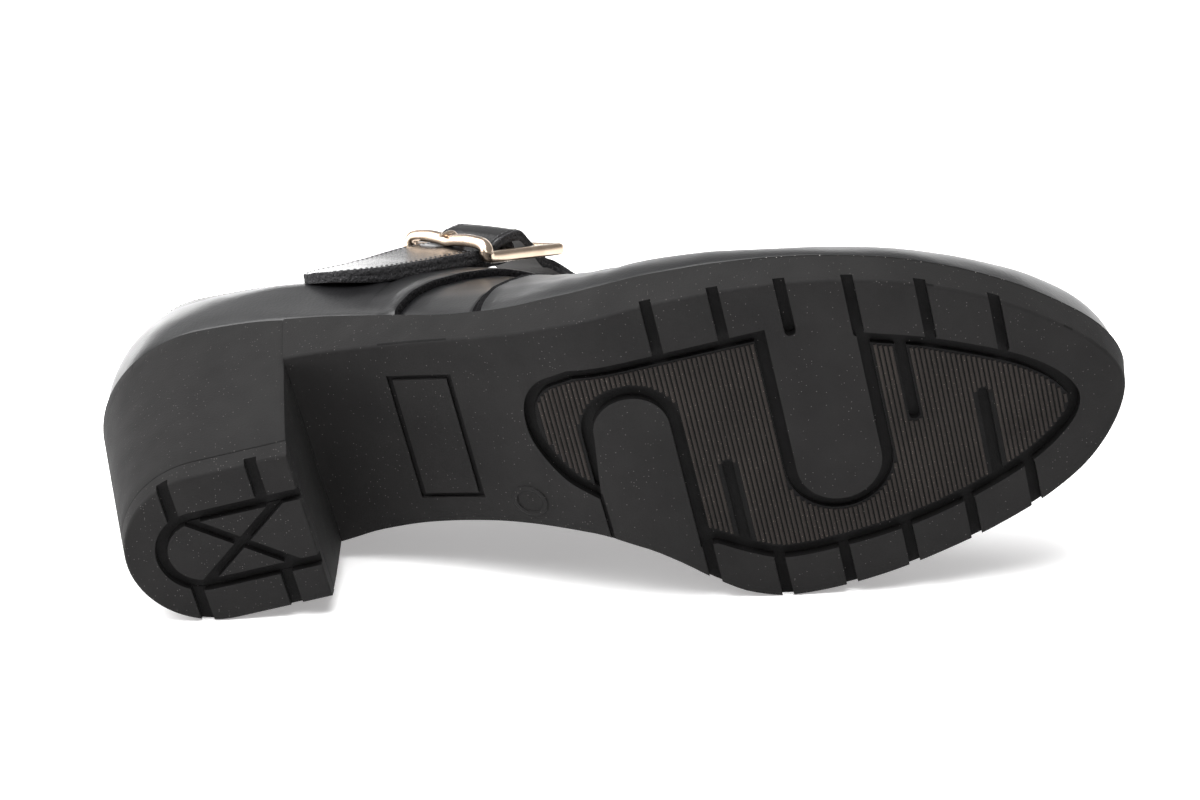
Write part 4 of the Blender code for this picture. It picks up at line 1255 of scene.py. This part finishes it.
def thread_finish(name):
    """Waxed thread with a fine twist."""
    finish = Finish(name)
    finish.colour(finish.cloud(2600.0, 0.0, 1.0), (0.012, 0.012, 0.013), (0.05, 0.05, 0.053))
    return finish.set({"Roughness": 0.6})


def floor_finish(name):
    """White paper, which glows a little so that the shadow on it stays soft."""
    finish = Finish(name)
    finish.colour(finish.cloud(3.0, 0.0, 1.0), (0.88, 0.88, 0.88), (0.9, 0.9, 0.9))
    return finish.set({"Roughness": 0.85, "Emission Color": (1.0, 0.98, 0.98, 1.0),
                       "Emission Strength": 0.32})


def bars_along(tree, curve, radius, sides):
    """Round bar along a curve, with closed ends."""
    circle = add(tree, "GeometryNodeCurvePrimitiveCircle", {"Resolution": sides, "Radius": radius})
    return add(tree, "GeometryNodeCurveToMesh", {"Curve": curve, "Profile Curve": circle.outputs[0],
                                                 "Fill Caps": True}).outputs[0]


def finish_group(tree, geometry, finish, result):
    """Last nodes of a group: real meshes with their finish."""
    tree.is_modifier = True
    real = add(tree, "GeometryNodeRealizeInstances", {0: geometry}).outputs[0]
    done = add(tree, "GeometryNodeSetMaterial", {"Geometry": real, "Material": finish})
    tree.links.new(done.outputs[0], result["Geometry"])
    return tree


def bars_group():
    """Geometry nodes: a round bar along every line of the mesh."""
    tree, given, result = new_group("round_bars", "GeometryNodeTree", {
        "Geometry": "Geometry", "Radius": "Float", "Finish": "Material"}, ("Geometry", "Geometry"))
    curves = add(tree, "GeometryNodeMeshToCurve", {0: given["Geometry"]}).outputs[0]
    return finish_group(tree, bars_along(tree, curves, given["Radius"], 8), given["Finish"], result)


def sewing_group():
    """Geometry nodes: stitches along every line of the mesh, turned to its 'outward' directions."""
    tree, given, result = new_group("sewn_rows", "GeometryNodeTree", {
        "Geometry": "Geometry", "Pitch": "Float", "Length": "Float", "Radius": "Float", "Finish": "Material"},
        ("Geometry", "Geometry"))
    curves = add(tree, "GeometryNodeMeshToCurve", {0: given["Geometry"]}).outputs[0]
    places = add(tree, "GeometryNodeCurveToPoints", {"Curve": curves, "Length": given["Pitch"]},
                 mode="LENGTH").outputs
    outward = add(tree, "GeometryNodeInputNamedAttribute", {"Name": "outward"}, data_type="FLOAT_VECTOR")
    along = add(tree, "FunctionNodeAlignRotationToVector", {"Vector": places["Tangent"]}, axis="X")
    turned = add(tree, "FunctionNodeAlignRotationToVector", {
        "Rotation": along.outputs[0], "Vector": outward.outputs[0]}, axis="Z", pivot_axis="X")
    half = maths(tree, "MULTIPLY", given["Length"], 0.5)
    back = maths(tree, "MULTIPLY", half, -1.0)
    sunk = maths(tree, "MULTIPLY", given["Radius"], -1.2)
    proud = maths(tree, "MULTIPLY", given["Radius"], 1.6)
    points = {"Start": {0: back, 2: sunk}, "Middle": {2: proud}, "End": {0: half, 2: sunk}}
    points = {name: add(tree, "ShaderNodeCombineXYZ", values).outputs[0] for name, values in points.items()}
    thread = add(tree, "GeometryNodeCurveQuadraticBezier", {"Resolution": 6, **points}).outputs[0]
    rows = add(tree, "GeometryNodeInstanceOnPoints", {
        "Points": places["Points"], "Instance": bars_along(tree, thread, given["Radius"], 6),
        "Rotation": turned.outputs[0]})
    return finish_group(tree, rows.outputs[0], given["Finish"], result)


def to_floor(points):
    """Points in the shoe's axes, laid on the floor in metres."""
    return [SHOE_TO_FLOOR @ Vector(np.array(p, float) * MM) for p in points]


def lines_object(name, lines, outwards=None):
    """Mesh of separate lines of points, with the direction out of the surface at each point."""
    verts = []
    edges = []
    for line in lines:
        start = len(verts)
        verts += to_floor(line)
        edges += [(start + i, start + i + 1) for i in range(len(line) - 1)]
    mesh = bpy.data.meshes.new(name)
    mesh.from_pydata(verts, edges, [])
    if outwards is not None:
        turn = SHOE_TO_FLOOR.to_3x3()
        layer = mesh.attributes.new("outward", "FLOAT_VECTOR", "POINT")
        flat = np.array([turn @ Vector(v) for line in outwards for v in line]).ravel()
        layer.data.foreach_set("vector", flat)
    return new_object(name, mesh)


def run_nodes(made, tree, values):
    """Work a node tree into an object's mesh, with its named inputs."""
    modifier = made.modifiers.new("nodes", "NODES")
    modifier.node_group = tree
    for item in tree.interface.items_tree:
        if item.in_out == "INPUT" and item.name in values:
            modifier[item.identifier] = values[item.name]
    work_in(made)
    made.data.shade_smooth()
    return made


def place_piece(name, bm, finishes, node=None, sharp_deg=38.0):
    """Finished piece: laid on the floor, shaded, and tied to the frame."""
    bmesh.ops.transform(bm, matrix=SHOE_TO_FLOOR @ Matrix.Scale(MM, 4), verts=bm.verts)
    mesh = mesh_of(name, bm)
    for finish in finishes:
        mesh.materials.append(finish)
    mesh.shade_smooth()
    mesh.set_sharp_from_angle(angle=math.radians(sharp_deg))
    made = new_object(name, mesh)
    tie(made, node)
    return made


def tie(made, node=None):
    """Tie a piece to the frame."""
    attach(made, "root")
    if node:
        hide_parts(node)


def even_normals(made):
    """Flat faces stay flat beside rounded edges."""
    weighted = made.modifiers.new("even", "WEIGHTED_NORMAL")
    weighted.keep_sharp = True
    work_in(made)


def upper_stitch_lines():
    """Rows of stitches beside the vamp's edge and below the collar, with their directions."""
    vamp, vamp_top = [float(loop_along(x)) for x in VAMP_EDGE]
    inside = float(loop_along(VAMP_EDGE[0] + VAMP_STITCH_INSET)) - vamp
    lines = []
    outwards = []
    for side in (LATERAL, MEDIAL):
        height = np.linspace(*VAMP_STITCH_HEIGHTS, 90)
        along = mix(vamp + inside, vamp_top + inside, height ** EDGE_SWEEP)
        lines.append(upper_surface(along, side, height, np.full_like(height, VAMP_RAISE)))
        outwards.append(rib_normal(along, side, height))
        along = np.linspace(COLLAR_STITCH_FROM, float(loop_along(THROAT_X - COLLAR_STITCH_STOP)), 120)
        height = np.full_like(along, COLLAR_STITCH_HEIGHT)
        lines.append(upper_surface(along, side, height, np.full_like(along, QUARTER_RAISE)))
        outwards.append(rib_normal(along, side, height))
    return lines, outwards


def strap_stitch_lines(path):
    """One row round the strap's face, a little in from its edge."""
    lines = []
    outwards = []
    alongs = np.linspace(STRAP_TAIL + STRAP_STITCH_STOP, 1 - STRAP_STITCH_STOP, 200)
    for side in (LATERAL, MEDIAL):
        frames = [path.frame(along) for along in alongs]
        halves = strap_half_width(alongs) - STRAP_STITCH_INSET
        droops = STRAP_EDGE.at("droop", alongs) * (side == LATERAL) * (2 * halves / STRAP_WIDTH) ** 2
        lines.append([middle + side * half * across + (STRAP_THICKNESS + STITCH_PROUD - droop) * outward
                      for (middle, across, outward), half, droop in zip(frames, halves, droops)])
        outwards.append([outward for _, _, outward in frames])
    return lines, outwards


def make_shoe():
    """Finishes first, then the pieces with their slots and the nodes that they replace."""
    for made_group in (specks_group, cloud_group, grain_group):
        made_group()
    dust = (0.12, 0.113, 0.108)
    sole = rubber_finish("sole_rubber", (0.0075, 0.0073, 0.0074), dust, 0.1, 0.05)
    wear = rubber_finish("heel_rubber", (0.007, 0.0068, 0.0069), dust, 0.2, 0.05)
    ribbed = rubber_finish("rib_rubber", (0.012, 0.0102, 0.0094), (0.15, 0.125, 0.11), 0.25, 0.12)
    # Darker rubber with fewer dust specks on the floors and walls of the grooves and on the recess pad:
    # painted shade in the grooves, with less dust
    painted_groove_shade = rubber_finish("groove_rubber_painted_shade", (0.0025, 0.0024, 0.0025), dust, 0.03, 0.01)
    glue = rubber_finish("glue_line", (0.003, 0.003, 0.003), (0.5, 0.47, 0.45), 0.6, 0.01)
    leather = leather_finish("black_leather", (0.0035, 0.0035, 0.004), 0.28, 0.4)
    strap_face = leather_finish("strap_face", (0.0045, 0.0043, 0.0047), 0.16, 0.24)
    # Same black leather for the middle panel, with a darker colour and weaker shine: painted shade
    leather_shaded_copy = leather_finish("black_leather_painted_shade", (0.003, 0.003, 0.0035), 0.3, 0.38, shine=0.35)
    raw = raw_edge_finish("raw_edge", (0.002, 0.0021, 0.003), (0.045, 0.043, 0.046))
    # Dark cut edge of the panels, also laid in the sunk crease before the vamp's edge as painted shade
    cut = raw_edge_finish("panel_edge_and_crease_shade", (0.001, 0.001, 0.0013), (0.02, 0.019, 0.02), shine=0.05)
    strap_lining = lining_finish("strap_lining", (0.012, 0.0105, 0.01), (0.03, 0.025, 0.022))
    lining = lining_finish("lining_leather", (0.17, 0.135, 0.105), (0.24, 0.195, 0.155))
    footbed = lining_finish("footbed_leather", (0.2, 0.165, 0.13), (0.27, 0.225, 0.18))
    metal = metal_finish("pale_metal")
    thread = thread_finish("black_thread")

    even_normals(place_piece("sole_forefoot", outsole_body(), [sole, painted_groove_shade, glue], "outsole"))
    even_normals(place_piece("tread_pad", tread_pad_body(), [sole, painted_groove_shade]))
    place_piece("sole_waist_ring", waist_ring_body(), [sole])
    place_piece("heel_stack", heel_block_body(), [sole], "heel_block")
    even_normals(place_piece("heel_wear_piece", heel_top_piece_body(), [wear, painted_groove_shade],
                             "heel_top_piece"))
    place_piece("footbed", insole_body(), [footbed], "insole")
    place_piece("upper_leather", upper_body(), [leather, cut, lining, leather_shaded_copy], "upper",
                sharp_deg=50.0)
    path = StrapPath()
    place_piece("strap_leather", strap_body(path), [strap_face, raw, strap_lining], "strap")
    place_piece("buckle_cast", buckle_frame_body(path), [metal], "buckle_frame")
    place_piece("buckle_tab", buckle_tab_body(path), [strap_lining, raw])
    place_piece("buckle_pin", buckle_prong_body(path), [metal], "buckle_prong")

    ribs = lines_object("tread_ribs", tread_rib_lines())
    run_nodes(ribs, bars_group(), {"Radius": RIB_RADIUS * MM, "Finish": ribbed})
    tie(ribs)
    sewing = sewing_group()
    values = {"Pitch": STITCH_PITCH * MM, "Length": STITCH_LENGTH * MM, "Radius": THREAD_RADIUS * MM,
              "Finish": thread}
    for name, rows in (("upper_stitches", upper_stitch_lines()),
                       ("strap_stitches", strap_stitch_lines(path))):
        tie(run_nodes(lines_object(name, *rows), sewing, values))


def add_area_light(name, place, target, size, power):
    light = bpy.data.lights.new(name, "AREA")
    light.shape = "RECTANGLE"
    light.size, light.size_y = size
    light.energy = power
    made = new_object(name, light)
    made.location = place
    made.visible_camera = False
    made.rotation_euler = (Vector(target) - Vector(place)).to_track_quat("-Z", "Y").to_euler()


def studio_world():
    """White room: bright low down like a paper backdrop, dimmer above it, with a paler ceiling."""
    world = bpy.data.worlds.new("studio")
    world.use_nodes = True
    tree = world.node_tree
    way = add(tree, "ShaderNodeTexCoord").outputs["Generated"]
    height = add(tree, "ShaderNodeSeparateXYZ", {0: way}).outputs["Z"]
    ramp_node = add(tree, "ShaderNodeValToRGB", {0: height})
    for place, _ in ROOM_LIGHT[1:-1]:
        ramp_node.color_ramp.elements.new(place)
    for element, (place, value) in zip(ramp_node.color_ramp.elements, ROOM_LIGHT):
        element.position = place
        element.color = (value, value, value, 1.0)
    tree.links.new(ramp_node.outputs[0], tree.nodes["Background"].inputs["Color"])
    return world


def set_stage():
    """Pale floor, soft studio light and the camera."""
    scene = bpy.context.scene
    bm = bmesh.new()
    bmesh.ops.create_grid(bm, x_segments=1, y_segments=1, size=FLOOR_HALF)
    mesh = mesh_of("floor", bm)
    mesh.materials.append(floor_finish("floor_white"))
    floor = new_object("floor", mesh)
    scene.world = studio_world()
    for row in LIGHTS:
        add_area_light(*row)
    scene.view_settings.view_transform = "Standard"

    ahead = unit(np.array(CAMERA_AHEAD))
    right = np.array(CAMERA_RIGHT)
    right = unit(right - ahead * right.dot(ahead))
    axes = Matrix((right, np.cross(right, ahead), -ahead)).transposed().to_4x4()
    camera = bpy.data.cameras.new("photo_camera")
    camera.lens = CAMERA_LENS
    camera.sensor_width = CAMERA_SENSOR
    scene.camera = new_object("photo_camera", camera)
    scene.camera.matrix_world = SHOE_TO_FLOOR @ Matrix.Translation(np.array(CAMERA_PLACE) * MM) @ axes


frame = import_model()
make_shoe()
set_stage()
